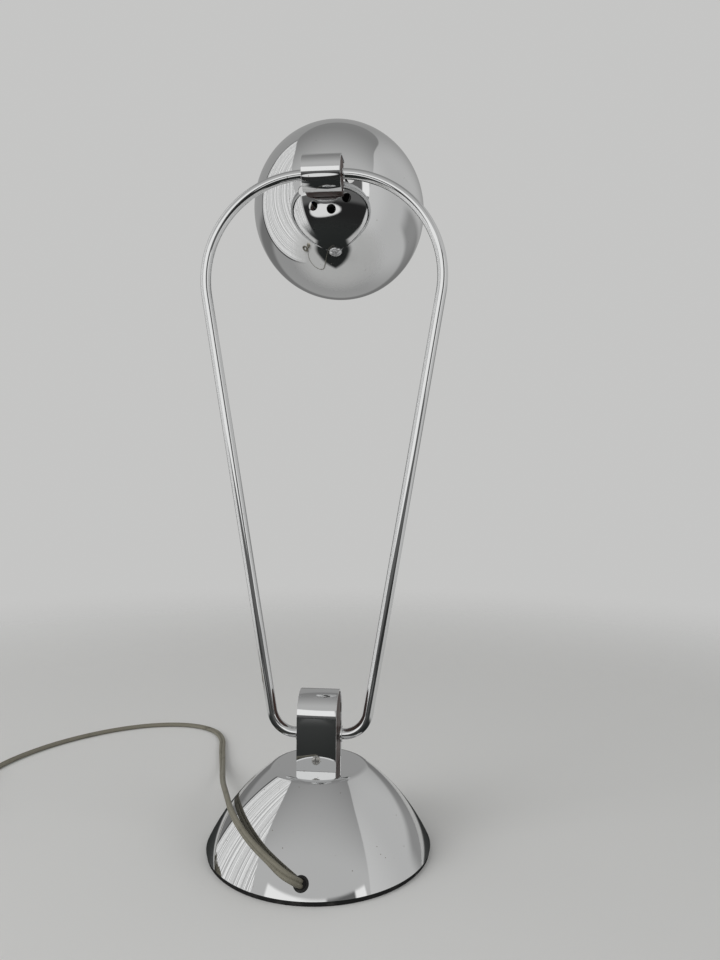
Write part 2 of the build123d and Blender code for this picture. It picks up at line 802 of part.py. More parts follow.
# What is written: one file a piece
pieces = {
    "base_shell": base_shell,
    "foot_pad": foot_pad,
    "base_plate": base_plate,
    "plate_screws": plate_screws,
    "base_weight": base_weight,
    "clip_stem": clip_stem,
    "stem_nut": stem_nut,
    "base_clip": base_clip,
    "base_clip_core": base_clip_core,
    "clip_screws": clip_screws,
    "pivot_bushes": pivot_bushes,
    "terminal_block": terminal_block,
    "terminal_screws": terminal_screws,
    "touch_module": touch_module,
    "supply_leads": supply_leads,
    "cord_gland": cord_gland,
    "frame_tube": frame_tube,
    "frame_leads": frame_leads,
    "tube_collars": tube_collars,
    "head_clip": head_clip,
    "head_clip_core": head_clip_core,
    "shade": shade,
    "head_stem": head_stem,
    "head_nut": head_nut,
    "lamp_holder": lamp_holder,
    "holder_sleeve": holder_sleeve,
    "holder_contact": holder_contact,
    "bulb_cap": bulb_cap,
    "bulb_glass": bulb_glass,
    "cord_lead": cord_lead,
    "cord_coil": cord_coil,
    "cord_tie": cord_tie,
    "plug_relief": plug_relief,
    "plug_body": plug_body,
    "plug_pins": plug_pins,
}
for name, piece in pieces.items():
    piece.part.label = name
    export_step(piece.part, f"parts/{name}.step")

# Measures of the cord: corner radii, volume against section times length, gap in the coil
print("cord corner radii", [round(r, 1) for r in cord_radii])
cord_section = pi * (cord_diameter / 2) ** 2
for name, tube, route in (("lead", cord_lead, cord_route), ("coil", cord_coil, coil_route)):
    length = sum(edge.length for edge in route.edges())
    ratio = tube.part.volume / (cord_section * length)
    print(name, "length", round(length, 1), "volume ratio", round(ratio, 4))
samples = []
travelled = 0.0
for edge in coil_route.edges():
    count = 24
    for step in range(count):
        samples.append((travelled + edge.length * step / count, edge @ (step / count)))
    travelled += edge.length
least = min(
    (a[1] - b[1]).length
    for i, a in enumerate(samples)
    for b in samples[i + 1 :]
    if b[0] - a[0] > 4 * cord_diameter
)
print("coil gap to itself", round(least - cord_diameter, 2))
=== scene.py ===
import json
from math import acos, asin, atan2, cos, pi, radians, sin, sqrt, tan

import bmesh
import bpy
from mathutils import Matrix, Vector


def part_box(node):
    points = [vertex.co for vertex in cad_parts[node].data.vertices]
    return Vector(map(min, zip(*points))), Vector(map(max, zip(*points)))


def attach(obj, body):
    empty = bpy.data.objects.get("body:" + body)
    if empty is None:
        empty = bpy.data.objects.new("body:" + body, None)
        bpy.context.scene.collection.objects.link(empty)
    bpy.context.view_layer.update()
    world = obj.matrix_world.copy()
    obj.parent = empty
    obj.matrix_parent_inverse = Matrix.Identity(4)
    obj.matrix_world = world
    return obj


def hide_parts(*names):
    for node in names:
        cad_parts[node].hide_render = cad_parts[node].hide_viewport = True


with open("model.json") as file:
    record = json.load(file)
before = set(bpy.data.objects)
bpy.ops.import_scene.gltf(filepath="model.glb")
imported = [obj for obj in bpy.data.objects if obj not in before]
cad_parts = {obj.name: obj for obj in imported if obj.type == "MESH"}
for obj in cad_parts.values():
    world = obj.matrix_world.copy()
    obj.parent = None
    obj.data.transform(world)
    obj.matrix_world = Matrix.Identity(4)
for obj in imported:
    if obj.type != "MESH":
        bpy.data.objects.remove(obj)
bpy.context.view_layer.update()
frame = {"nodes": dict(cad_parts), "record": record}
pivots = {joint["name"]: joint["pos_m"][2] for joint in frame["record"]["behaviour"]["joints"]}

# Sizes in millimetres, in the frame of the CAD model; MM turns them into metres

MM = 0.001

# Domed base
RIM_RADIUS = 67.5
DOME_HEIGHT = 49.5
FLANK_RADIUS = 125.0
FLANK_LEAN = radians(26.0)
SHOULDER_RADIUS = 8.0
SHELL_WALL = 1.2
RIM_ROUNDING = 0.45
RIM_TURN = radians(80.0)
DOME_HOLE = 5.1
PAD_THICKNESS = 2.4
PAD_RADIUS = 66.8
PAD_ROUNDING = 0.5
FLANK_X = RIM_RADIUS - FLANK_RADIUS * cos(FLANK_LEAN)
FLANK_Z = PAD_THICKNESS - FLANK_RADIUS * sin(FLANK_LEAN)
SHOULDER_Z = DOME_HEIGHT - SHOULDER_RADIUS
SHOULDER_ANGLE = asin((SHOULDER_Z - FLANK_Z) / (FLANK_RADIUS - SHOULDER_RADIUS))
SHOULDER_X = FLANK_X + (FLANK_RADIUS - SHOULDER_RADIUS) * cos(SHOULDER_ANGLE)

# Clips
STRAP_WIDTH = 23.6
STRAP = 1.2
CORE_WIDTH = STRAP_WIDTH - 1.0
CORE_GAP = 0.05
STRAP_ROUNDING = 0.22
BASE_CLIP_TOP = 94.3
BASE_CLIP_HALF_DEPTH = 14.0
BASE_CORE_ROUNDING = 0.5
CLIP_SCREW_LEVEL = 56.1
HEAD_CLIP_RADIUS = 11.6
HEAD_CLIP_REACH = 11.8
HEAD_CLIP_TAIL = 2.8
HEAD_LIP_BEND = 1.6
HEAD_LIP_DROP = 8.2
HEAD_LIP_WIDTH = 16.0
HEAD_LIP_SHOULDER = 2.0
HEAD_CORE_ROUNDING = 0.4

# Clip screws: corners, each a radius and a height above the strap, and the slot's width, length and height
SCREW_SHANK = ((0, -6.9), (1.5, -6.9), (1.5, 0))
SCREW_HEAD = ((2.5, 0), (2.6, 0.25), (2.45, 0.75), (2.0, 1.15), (1.3, 1.35), (0, 1.4))
SCREW_SLOT = (0.7, 6.0, 1.2)
SCREW_SLOT_LEVEL = 1.4

# Bent tube
TUBE_RADIUS = 3.2
PIVOT_HEIGHT = pivots["frame_tilt"] / MM
LOOP_HEIGHT = pivots["head_tilt"] / MM
LEG_FOOT_SPREAD = 27.3
LEG_LEAN = radians(9.46)
LOWER_BEND = 15.0
ARCH_BEND = 62.5
TUBE_END = 4.0
COLLAR_RADIUS = 4.7
COLLAR_START = STRAP_WIDTH / 2 + 0.3
COLLAR_WIDTH = 1.9
COLLAR_BORE = TUBE_RADIUS + 0.05
COLLAR_ROUNDING = 0.35

# Head: distances along the light's axis from the head's pivot; the shade's axis lies below the pivot
HEAD_TILT = radians(5.0)
SHADE_DROP = 2.1
SHADE_RADIUS = 59.9
SHADE_POLE_RADIUS = 53.0
SHADE_POLE_SHIFT = 19.1
SHADE_CENTRE = 82.7
SHADE_PAST_EQUATOR = 34.0
SHADE_WALL = 1.0
SHADE_BEAD = 1.3
VENT_CIRCLE = 15.2
VENT_RADIUS = 2.9
VENT_COUNT = 8
VENT_TURN = radians(33.0)
VENT_DRILL_MIDDLE = 15.0
VENT_DRILL_LENGTH = 20.0
STEM_HOLE = 4.05
SWELL_RADIUS = (SHADE_POLE_SHIFT**2 + SHADE_RADIUS**2 - SHADE_POLE_RADIUS**2) / (
    2 * (SHADE_RADIUS - SHADE_POLE_RADIUS)
)
SWELL_X = SHADE_RADIUS - SWELL_RADIUS
POLE_CENTRE = SHADE_CENTRE - SHADE_POLE_SHIFT
MEETING_ANGLE = -asin(SHADE_POLE_SHIFT / (SWELL_RADIUS - SHADE_POLE_RADIUS))
SKIN_TOLERANCE = 0.08
SEAT_FACE_MARGIN = 0.05
SEAT_CORNER_MARGIN = 0.01

# Lamp holder and bulb: corners, each a radius and a distance along the light's axis
HOLDER_BACK = ((4.1, 16.8), (9.5, 16.8), (11, 18.2), (11, 26), (13.5, 28.5))
HOLDER_GROOVE = ((13.5, 0), (12.9, 0.5), (12.9, 1.5), (13.5, 2.0))
HOLDER_GROOVES = 4
HOLDER_FIRST_GROOVE = 31.0
HOLDER_GROOVE_STEP = 5.2
HOLDER_MOUTH = ((13.5, 54.0), (12.9, 54.8), (8.4, 54.8), (8.2, 54.5), (8.2, 30.8), (4.1, 30.8))
HOLDER_ROUNDING = 0.2
BULB_FOOT = 56.4
BULB_RADIUS = 22.5
BULB_MIDDLE = 87.43
BULB_NECK = 8.0
BULB_BLEND = 9.0
CAP_FOOT = ((0, 32.2), (2.2, 32.2), (2.4, 32.6), (2.4, 33.2), (5.6, 34.4))
CAP_THREAD = ((6.35, 0), (6.9, 0.8), (6.9, 1.4), (6.35, 2.2))
CAP_THREADS = 6
CAP_FIRST_THREAD = 35.0
CAP_THREAD_STEP = 2.9
CAP_COLLAR = ((6.6, 54.2), (8.4, 55.2), (8.4, BULB_FOOT), (0, BULB_FOOT))

# Gland
GLAND_LEVEL = 10.0
GLAND_FLANGE = 4.2
GLAND_FLANGE_HEIGHT = 1.0
GLAND_FLANGE_ROUNDING = 0.55
GLAND_BORE = 2.6
GLAND_BORE_FLOOR = 0.15
GLAND_BORE_ROUNDING = 0.4
GLAND_INSIDE = ((0, -3.0), (4.1, -3.0), (4.1, -1.5), (3.3, -1.4), (3.3, 0))
GLAND_ANGLE = asin((GLAND_LEVEL - FLANK_Z) / FLANK_RADIUS)
GLAND_OUT = Vector((0, -cos(GLAND_ANGLE), sin(GLAND_ANGLE)))
GLAND_POINT = Vector((0, -(FLANK_X + FLANK_RADIUS * cos(GLAND_ANGLE)), GLAND_LEVEL))

# Cord; its pairs say from where to where along it, from its inner end, one lie eases into the next
CORD_WIDTH = 5.0
CORD_CORE = 1.36
CORD_CORE_OFFSET = CORD_WIDTH / 2 - CORD_CORE
CORD_TWIST = radians(-50)
CORD_OFF_GLAND = (6, 26)
CORD_TWIST_START = (14, 36)
CORD_ONTO_TABLE = (110, 210)
CORD_TWIST_END = (200, 290)
DOME_MIDDLE_DEPTH = 35.0
CORD_INSIDE = 5.0
CORD_STRAIGHT = 8.0
TABLE_LINE = 1.5
COIL_CENTRE = Vector((-300, 45, 0))
COIL_RADIUS = 38.0
COIL_STEP = 5.5
COIL_LINE = 1.5
COIL_LAYER = 2.9
PLUG_LINE = 9.2
COIL_INWARD_HALVES = 7
COIL_POINTS_A_HALF = 8
COIL_FULLNESS = 0.6
COIL_APPROACH = 16.0
COIL_BAND_HEIGHT = 6.6
COIL_BAND_WALL = 0.6
COIL_BAND_CORNER = 1.6
COIL_BAND_ROUNDING = 0.2
COIL_TAIL = 12.0

# Plug and its relief, drawn along Z from the cord's end; corners, each a radius and a distance
RELIEF_FOOT = 2.6
RELIEF_RADIUS = 2.75
RELIEF_FLARE = 0.29
RELIEF_RIBS = 8
RELIEF_FIRST_RIB = 1.6
RELIEF_RIB_STEP = 2.9
RELIEF_RIB = ((0, 0), (-0.55, 0.35), (-0.5, 1.05), (0.2, 1.4))
RELIEF_END = ((5.0, 25.4), (5.0, 26), (0, 26))
PLUG_SIZE = (36, 18.4, 40)
PLUG_MIDDLE = 46.0
PLUG_TAPER = (0.62, 0.8, 1)
PLUG_ROUNDING = 3.2
PIN_RADIUS = 2.0
PIN_SPREAD = 9.5
PIN_START = 65.5
PIN_END = 85.0
PIN_ROUNDING = 1.4

# Places, for pieces that are drawn at the origin
UPRIGHT = Matrix.Identity(4)
LOOP_TOP = Matrix.Translation((0, 0, LOOP_HEIGHT))
BASE_CLIP_PLACE = Matrix.Rotation(pi / 2, 4, "Z")
HEAD_CLIP_PLACE = LOOP_TOP @ Matrix.Rotation(HEAD_TILT, 4, "X") @ BASE_CLIP_PLACE
SHADE_PLACE = (
    LOOP_TOP @ Matrix.Rotation(HEAD_TILT - pi / 2, 4, "X") @ Matrix.Translation((0, SHADE_DROP, 0))
)


# Camera, at the photograph's viewing angle
def place_camera():
    stand = Vector((67.12, -449.65, 223.24)) * MM
    turn, dip, roll = radians(5.52), radians(0.22), radians(0.35)
    ahead = Vector((-sin(turn) * cos(dip), cos(turn) * cos(dip), -sin(dip)))
    level = Vector((cos(turn), sin(turn), 0))
    upright = level.cross(ahead)
    across = cos(roll) * level + sin(roll) * upright
    upward = cos(roll) * upright - sin(roll) * level
    data = bpy.data.cameras.new("camera")
    data.sensor_width = 36
    data.lens = 28.05
    camera = bpy.data.objects.new("camera", data)
    bpy.context.scene.collection.objects.link(camera)
    camera.matrix_world = (
        Matrix.Translation(stand) @ Matrix((across, upward, -ahead)).transposed().to_4x4()
    )
    bpy.context.scene.camera = camera


# Shader nodes: values that take part in Python arithmetic, and one way to add any other node
class Value:
    """A shader socket; each arithmetic operation on it adds a Math node."""

    def __init__(self, nodes, socket):
        self.nodes = nodes
        self.socket = socket

    def maths(self, operation, *terms):
        return self.nodes.node("Math", {"operation": operation}, dict(enumerate(terms)))

    def __add__(self, other):
        return self.maths("ADD", self, other)

    def __sub__(self, other):
        return self.maths("SUBTRACT", self, other)

    def __rsub__(self, other):
        return self.maths("SUBTRACT", other, self)

    def __mul__(self, other):
        return self.maths("MULTIPLY", self, other)

    def __truediv__(self, other):
        return self.maths("DIVIDE", self, other)

    def __abs__(self):
        return self.maths("ABSOLUTE", self)

    def __lt__(self, other):
        return self.maths("LESS_THAN", self, other)

    __radd__ = __add__
    __rmul__ = __mul__

    def at_least(self, low):
        return self.maths("MAXIMUM", self, low)

    def root(self):
        return self.maths("SQRT", self)

    def step(self, low, high):
        """0 below low, 1 above high, smooth between."""
        settings = {"interpolation_type": "SMOOTHSTEP"}
        return self.nodes.node("MapRange", settings, {"Value": self, "From Min": low, "From Max": high})

    def below(self, high, edge):
        """1 well below high, 0 from there on, smooth over an edge's width before it."""
        return (high - self).step(0, edge)

    def covered(self, mask, other):
        """This value, with another in its place where a mask is 1."""
        return self + mask * (other - self)


class Nodes:
    """A node tree, with one method that adds a node."""

    def __init__(self, tree):
        self.tree = tree

    def feed(self, socket, value):
        if isinstance(value, Value):
            self.tree.links.new(value.socket, socket)
        else:
            socket.default_value = value

    def node(self, kind, settings, sockets, output=0):
        made = self.tree.nodes.new("ShaderNode" + kind)
        for key, value in settings.items():
            setattr(made, key, value)
        for key, value in sockets.items():
            self.feed(made.inputs[key], value)
        return Value(self, made.outputs[output])

    def mix(self, share, first, second):
        """A colour between two, by a share."""
        sides = [(*c, 1) if isinstance(c, tuple) else c for c in (first, second)]
        return self.node("Mix", {"data_type": "RGBA"}, {0: share, 6: sides[0], 7: sides[1]}, output=2)


class Finish(Nodes):
    """A material on a piece's own coordinates, in metres."""

    def __init__(self, name, **plain):
        self.material = bpy.data.materials.new(name)
        self.material.use_nodes = True
        super().__init__(self.material.node_tree)
        self.shader = self.tree.nodes["Principled BSDF"]
        self.spot = self.node("TexCoord", {}, {}, output="Object")
        for key, value in plain.items():
            self.set(key.replace("_", " ").title(), value)

    def set(self, socket, value):
        flat = (*value, 1) if isinstance(value, tuple) else value
        self.feed(self.shader.inputs[socket], flat)

    def noise(self, scale, detail, rough=0.55):
        sockets = {"Vector": self.spot, "Scale": scale, "Detail": detail, "Roughness": rough}
        return self.node("TexNoise", {}, sockets)

    def specks(self, scale, size, share):
        """Round specks: scale sets how many a metre, size their radius in cells, share how many show."""
        settings = {"feature": "F1"}
        sockets = {"Vector": self.spot, "Scale": scale}
        far = self.node("TexVoronoi", settings, sockets)
        tint = self.node("TexVoronoi", settings, sockets, output="Color")
        lot = self.node("SeparateColor", {}, {"Color": tint})
        return (1 - far.step(size * 0.5, size)) * (lot < share)

    def bump(self, height, depth, strength):
        """Relief on the surface, its depth in millimetres."""
        sockets = {"Strength": strength, "Distance": depth * MM, "Height": height}
        self.set("Normal", self.node("Bump", {}, sockets))


# Finishes
def make_chrome():
    finish = Finish("chrome", metallic=1.0)
    haze = finish.noise(22, detail=4)
    film = finish.noise(6, detail=2)
    pits = finish.specks(scale=420, size=0.16, share=0.05)
    finish.set("Base Color", finish.mix(pits, (0.78, 0.785, 0.79), (0.30, 0.27, 0.23)))
    finish.set("Roughness", 0.035 + haze.step(0.45, 0.75) * film.step(0.4, 0.7) * 0.05 + pits * 0.3)
    finish.bump(finish.noise(1400, detail=2) * 0.2 - pits, depth=0.012, strength=0.35)
    return finish.material


def make_inner_lacquer():
    finish = Finish("inner_lacquer", coat_weight=0.4, coat_roughness=0.15)
    mottle = finish.noise(30, detail=4)
    finish.set("Base Color", finish.mix(mottle.step(0.35, 0.75), (0.15, 0.15, 0.145), (0.11, 0.108, 0.10)))
    finish.set("Roughness", 0.3 + mottle * 0.15)
    finish.bump(finish.noise(900, detail=2), depth=0.02, strength=0.3)
    return finish.material


def make_black_rubber():
    finish = Finish("black_rubber")
    dust = finish.noise(160, detail=5)
    finish.set("Base Color", finish.mix(dust.step(0.5, 0.8), (0.012, 0.012, 0.012), (0.045, 0.043, 0.04)))
    finish.set("Roughness", 0.55 + dust * 0.25)
    finish.bump(finish.noise(2600, detail=2), depth=0.03, strength=0.5)
    return finish.material


def make_clip_core():
    finish = Finish("clip_core")
    grain = finish.noise(260, detail=5)
    rub = finish.noise(60, detail=3)
    brown = finish.mix(grain.step(0.3, 0.75), (0.026, 0.012, 0.009), (0.075, 0.035, 0.026))
    finish.set("Base Color", finish.mix(rub.step(0.55, 0.8), brown, (0.11, 0.065, 0.05)))
    finish.set("Roughness", 0.34 + grain * 0.3)
    finish.bump(grain, depth=0.05, strength=0.5)
    return finish.material


def make_zinc_steel():
    finish = Finish("zinc_steel", metallic=1.0)
    lines = finish.noise(700, detail=4)
    finish.set("Base Color", finish.mix(finish.noise(90, detail=3), (0.52, 0.52, 0.53), (0.62, 0.60, 0.54)))
    finish.set("Roughness", 0.26 + lines * 0.22)
    finish.bump(lines, depth=0.03, strength=0.4)
    return finish.material


def make_cast_iron():
    finish = Finish("cast_iron", metallic=0.6)
    sand = finish.noise(500, detail=6, rough=0.7)
    finish.set("Base Color", finish.mix(sand.step(0.35, 0.7), (0.05, 0.048, 0.046), (0.13, 0.12, 0.115)))
    finish.set("Roughness", 0.6 + sand * 0.25)
    finish.bump(sand, depth=0.25, strength=0.7)
    return finish.material


def make_plastic(name, dark, pale, rough):
    finish = Finish(name)
    cloud = finish.noise(70, detail=4)
    finish.set("Base Color", finish.mix(cloud.step(0.3, 0.75), dark, pale))
    finish.set("Roughness", rough + cloud * 0.12)
    finish.bump(finish.noise(1800, detail=2), depth=0.02, strength=0.4)
    return finish.material


def make_metal(name, bright, dull, rough):
    finish = Finish(name, metallic=1.0)
    tarnish = finish.noise(130, detail=5)
    finish.set("Base Color", finish.mix(tarnish.step(0.35, 0.8), bright, dull))
    finish.set("Roughness", rough + tarnish * 0.2)
    finish.bump(finish.noise(2200, detail=3), depth=0.015, strength=0.4)
    return finish.material


def make_frosted_glass():
    finish = Finish("frosted_glass", coat_weight=0.6, coat_roughness=0.08, subsurface_weight=0.25)
    cloud = finish.noise(45, detail=3)
    finish.set("Base Color", finish.mix(cloud, (0.86, 0.85, 0.81), (0.80, 0.79, 0.75)))
    finish.set("Roughness", 0.32 + cloud * 0.1)
    return finish.material


def make_cord_sleeve():
    finish = Finish("cord_sleeve")
    grime = finish.noise(75, detail=6, rough=0.65)
    fine = finish.noise(900, detail=3)
    clean = finish.mix(fine, (0.175, 0.165, 0.128), (0.225, 0.212, 0.168))
    finish.set("Base Color", finish.mix(grime.step(0.5, 0.78), clean, (0.10, 0.092, 0.072)))
    finish.set("Roughness", 0.38 + grime * 0.25)
    finish.bump(fine, depth=0.03, strength=0.4)
    return finish.material


CHROME = make_chrome()
INNER_LACQUER = make_inner_lacquer()
BLACK_RUBBER = make_black_rubber()
CLIP_CORE = make_clip_core()
ZINC_STEEL = make_zinc_steel()
CAST_IRON = make_cast_iron()
NYLON = make_plastic("nylon", (0.70, 0.69, 0.63), (0.80, 0.79, 0.74), 0.4)
WHITE_PLASTIC = make_plastic("white_plastic", (0.66, 0.65, 0.60), (0.76, 0.75, 0.71), 0.25)
BLACK_PLASTIC = make_plastic("black_plastic", (0.012, 0.012, 0.013), (0.035, 0.034, 0.033), 0.38)
LEAD_SLEEVE = make_plastic("lead_sleeve", (0.52, 0.52, 0.50), (0.64, 0.64, 0.61), 0.35)
BRASS = make_metal("brass", (0.72, 0.52, 0.22), (0.45, 0.32, 0.14), 0.2)
CAP_ALUMINIUM = make_metal("cap_aluminium", (0.72, 0.72, 0.72), (0.55, 0.55, 0.54), 0.25)
FROSTED_GLASS = make_frosted_glass()
CORD_SLEEVE = make_cord_sleeve()


# Modelling
class Pen:
    """Draws a section in the XZ plane: a straight run extrudes a point, an arc spins it."""

    def __init__(self, x, z):
        self.bm = bmesh.new()
        self.first = self.tip = self.bm.verts.new((x, 0, z))

    def line(self, x, z):
        self.tip = bmesh.ops.extrude_vert_indiv(self.bm, verts=[self.tip])["verts"][0]
        self.tip.co = (x, 0, z)
        return self

    def lines(self, corners, x=0, z=0):
        """Straight runs from corner to corner, all of them shifted by x and z."""
        for corner in corners:
            self.line(corner[0] + x, corner[1] + z)
        return self

    def arc(self, x, z, turn, steps):
        """Turns about a centre; a positive turn goes from +X towards +Z."""
        made = bmesh.ops.spin(
            self.bm, geom=[self.tip], cent=(x, 0, z), axis=(0, -1, 0), angle=turn, steps=steps
        )
        self.tip = [v for v in made["geom_last"] if isinstance(v, bmesh.types.BMVert)][0]
        return self

    def close(self):
        bmesh.ops.contextual_create(self.bm, geom=[self.tip, self.first])
        bmesh.ops.remove_doubles(self.bm, verts=self.bm.verts, dist=0.001)
        return self

    def revolve(self, steps):
        """The section turned about the Z axis."""
        bm = self.bm
        geom = bm.verts[:] + bm.edges[:]
        bmesh.ops.spin(
            bm, geom=geom, cent=(0, 0, 0), axis=(0, 0, 1), angle=2 * pi, steps=steps, use_merge=True
        )
        bmesh.ops.remove_doubles(bm, verts=bm.verts, dist=0.001)
        bmesh.ops.recalc_face_normals(bm, faces=bm.faces)
        return bm

    def sheet(self, width, wall):
        """The open section drawn out along Y, and given a wall on its right-hand side."""
        bm = self.bm
        made = bmesh.ops.extrude_edge_only(bm, edges=bm.edges[:])["geom"]
        far = [v for v in made if isinstance(v, bmesh.types.BMVert)]
        bmesh.ops.translate(bm, verts=far, vec=(0, width, 0))
        bmesh.ops.translate(bm, verts=bm.verts, vec=(0, -width / 2, 0))
        bmesh.ops.recalc_face_normals(bm, faces=bm.faces)
        bmesh.ops.solidify(bm, geom=bm.faces[:], thickness=wall)
        bmesh.ops.recalc_face_normals(bm, faces=bm.faces)
        return bm

    def prism(self, width):
        """The closed section drawn out along Y."""
        bm = self.bm
        face = bmesh.ops.contextual_create(bm, geom=bm.edges[:])["faces"]
        made = bmesh.ops.extrude_face_region(bm, geom=face)["geom"]
        far = [v for v in made if isinstance(v, bmesh.types.BMVert)]
        bmesh.ops.translate(bm, verts=far, vec=(0, width, 0))
        bmesh.ops.translate(bm, verts=bm.verts, vec=(0, -width / 2, 0))
        bmesh.ops.recalc_face_normals(bm, faces=bm.faces)
        return bm


def soften(bm, width, segments=2, angle=40):
    """Rounds the edges that are sharper than an angle."""
    bm.normal_update()
    edges = [e for e in bm.edges if len(e.link_faces) == 2 and e.calc_face_angle() > radians(angle)]
    bmesh.ops.bevel(
        bm,
        geom=edges,
        offset=width,
        offset_type="OFFSET",
        segments=segments,
        profile=0.5,
        affect="EDGES",
        clamp_overlap=True,
        material=-1,
    )
    return bm


def join(*shapes):
    """Several shapes in one."""
    whole = shapes[0]
    for shape in shapes[1:]:
        mesh = bpy.data.meshes.new("joined")
        shape.to_mesh(mesh)
        shape.free()
        whole.from_mesh(mesh)
        bpy.data.meshes.remove(mesh)
    return whole


def moved(bm, matrix):
    bmesh.ops.transform(bm, matrix=matrix, verts=bm.verts)
    return bm


def in_order(bm):
    """The shape with its points and faces sorted by place: extruding leaves them in another order each run."""
    for elements, place in ((bm.verts, lambda v: v.co), (bm.faces, lambda f: f.calc_center_median())):
        for rank, element in enumerate(sorted(elements, key=lambda e: place(e)[:])):
            element.index = rank
        elements.sort()
    return bm


def cut(bm, cutter):
    """The first shape with the second taken away."""
    made = []
    for name, shape in (("whole", bm), ("cutter", cutter)):
        mesh = bpy.data.meshes.new(name)
        shape.to_mesh(mesh)
        shape.free()
        made.append(bpy.data.objects.new(name, mesh))
        bpy.context.scene.collection.objects.link(made[-1])
    whole, tool = made
    modifier = whole.modifiers.new("cut", "BOOLEAN")
    modifier.object = tool
    modifier.operation = "DIFFERENCE"
    modifier.solver = "EXACT"
    graph = bpy.context.evaluated_depsgraph_get()
    result = bpy.data.meshes.new_from_object(whole.evaluated_get(graph))
    left = bmesh.new()
    left.from_mesh(result)
    bpy.data.meshes.remove(result)
    for obj in made:
        mesh = obj.data
        bpy.data.objects.remove(obj)
        bpy.data.meshes.remove(mesh)
    return left


def piece(name, bm, finishes, body, replaced, place=UPRIGHT, sharp=35):
    """A finished piece: its shape in metres at its place, riding on its body in place of its CAD nodes."""
    moved(bm, Matrix.Scale(MM, 4) @ place)
    mesh = bpy.data.meshes.new(name)
    bm.to_mesh(mesh)
    bm.free()
    mesh.shade_smooth()
    mesh.set_sharp_from_angle(angle=radians(sharp))
    for finish in finishes if isinstance(finishes, list) else [finishes]:
        mesh.materials.append(finish)
    obj = bpy.data.objects.new(name, mesh)
    bpy.context.scene.collection.objects.link(obj)
    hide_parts(*replaced)
    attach(obj, body)
    return obj


# Cord: one flat two-core lead from the gland to the plug, the far length put away in a coil
def coil_points():
    """Half turns that spiral in on the table, then out again on top."""
    inward = [half / 2 for half in range(COIL_INWARD_HALVES + 1)]
    top = (COIL_INWARD_HALVES + 1) / 2
    outward = [(COIL_INWARD_HALVES - 2 - half) / 2 for half in range(COIL_INWARD_HALVES - 1)]
    shares = inward + [top] + outward
    fuller = 1 / cos(pi / (2 * COIL_POINTS_A_HALF)) ** COIL_FULLNESS
    points = []
    last = len(shares) - 2
    for half, (share, after) in enumerate(zip(shares, shares[1:])):
        side = 1 if half % 2 == 0 else -1
        here, there = side * (COIL_RADIUS - share * COIL_STEP), -side * (COIL_RADIUS - after * COIL_STEP)
        for step in range(COIL_POINTS_A_HALF):
            part = step / COIL_POINTS_A_HALF
            angle = (0 if side > 0 else pi) - pi * part
            reach = abs(here - there) / 2 * fuller
            low = COIL_LINE if half <= COIL_INWARD_HALVES else COIL_LINE + COIL_LAYER
            rise = COIL_LAYER * part if half == COIL_INWARD_HALVES else 0
            rise += (PLUG_LINE - low) * part if half == last else 0
            points.append(
                COIL_CENTRE
                + Vector(((here + there) / 2 + reach * cos(angle), reach * sin(angle), low + rise))
            )
    return points


def cord_points():
    coil_start = COIL_CENTRE + Vector((COIL_RADIUS, 0, 0))
    lead = [
        GLAND_POINT - GLAND_OUT * CORD_INSIDE,
        GLAND_POINT + GLAND_OUT * CORD_STRAIGHT,
        (-8, -71.5, 18.8),
        (-18, -63.5, 22),
        (-28, -55, 25),
        (-37.4, -45, 28.8),
        (-46.5, -31, 31.5),
        (-54.5, -11, 31.5),
        (-62, 11, 26.5),
        (-72.5, 44, 17),
        (-83, 80, 8.2),
        (-92, 112, 2.6),
        (-101, 142, 2.6),
        (-107, 166, TABLE_LINE),
        (-120, 188, TABLE_LINE),
        (-147, 200, TABLE_LINE),
        (-181, 195, TABLE_LINE),
        (-213, 175, TABLE_LINE),
        (-240, 144, TABLE_LINE),
        (-256, 110, TABLE_LINE),
        (-261, 84, TABLE_LINE),
        coil_start + Vector((0, COIL_APPROACH, COIL_LINE)),
    ]
    tail = [
        coil_start + Vector((0, 0, PLUG_LINE)),
        coil_start + Vector((0, -COIL_TAIL / 2, PLUG_LINE)),
        coil_start + Vector((0, -COIL_TAIL, PLUG_LINE)),
    ]
    return [Vector(p) for p in lead] + coil_points() + tail


def smooth_line(points):
    """The points of the smooth line that a route's spline gives, in millimetres."""
    curve = bpy.data.curves.new("route", "CURVE")
    curve.dimensions = "3D"
    curve.resolution_u = 8
    spline = curve.splines.new("NURBS")
    spline.points.add(len(points) - 1)
    for spot, point in zip(spline.points, points):
        spot.co = (*point, 1)
    spline.order_u = 3
    spline.use_endpoint_u = True
    holder = bpy.data.objects.new("route", curve)
    mesh = bpy.data.meshes.new_from_object(holder)
    line = [v.co.copy() for v in mesh.vertices]
    bpy.data.objects.remove(holder)
    bpy.data.curves.remove(curve)
    bpy.data.meshes.remove(mesh)
    return line


def ease(value, low, high):
    share = min(max((value - low) / (high - low), 0), 1)
    return share * share * (3 - 2 * share)


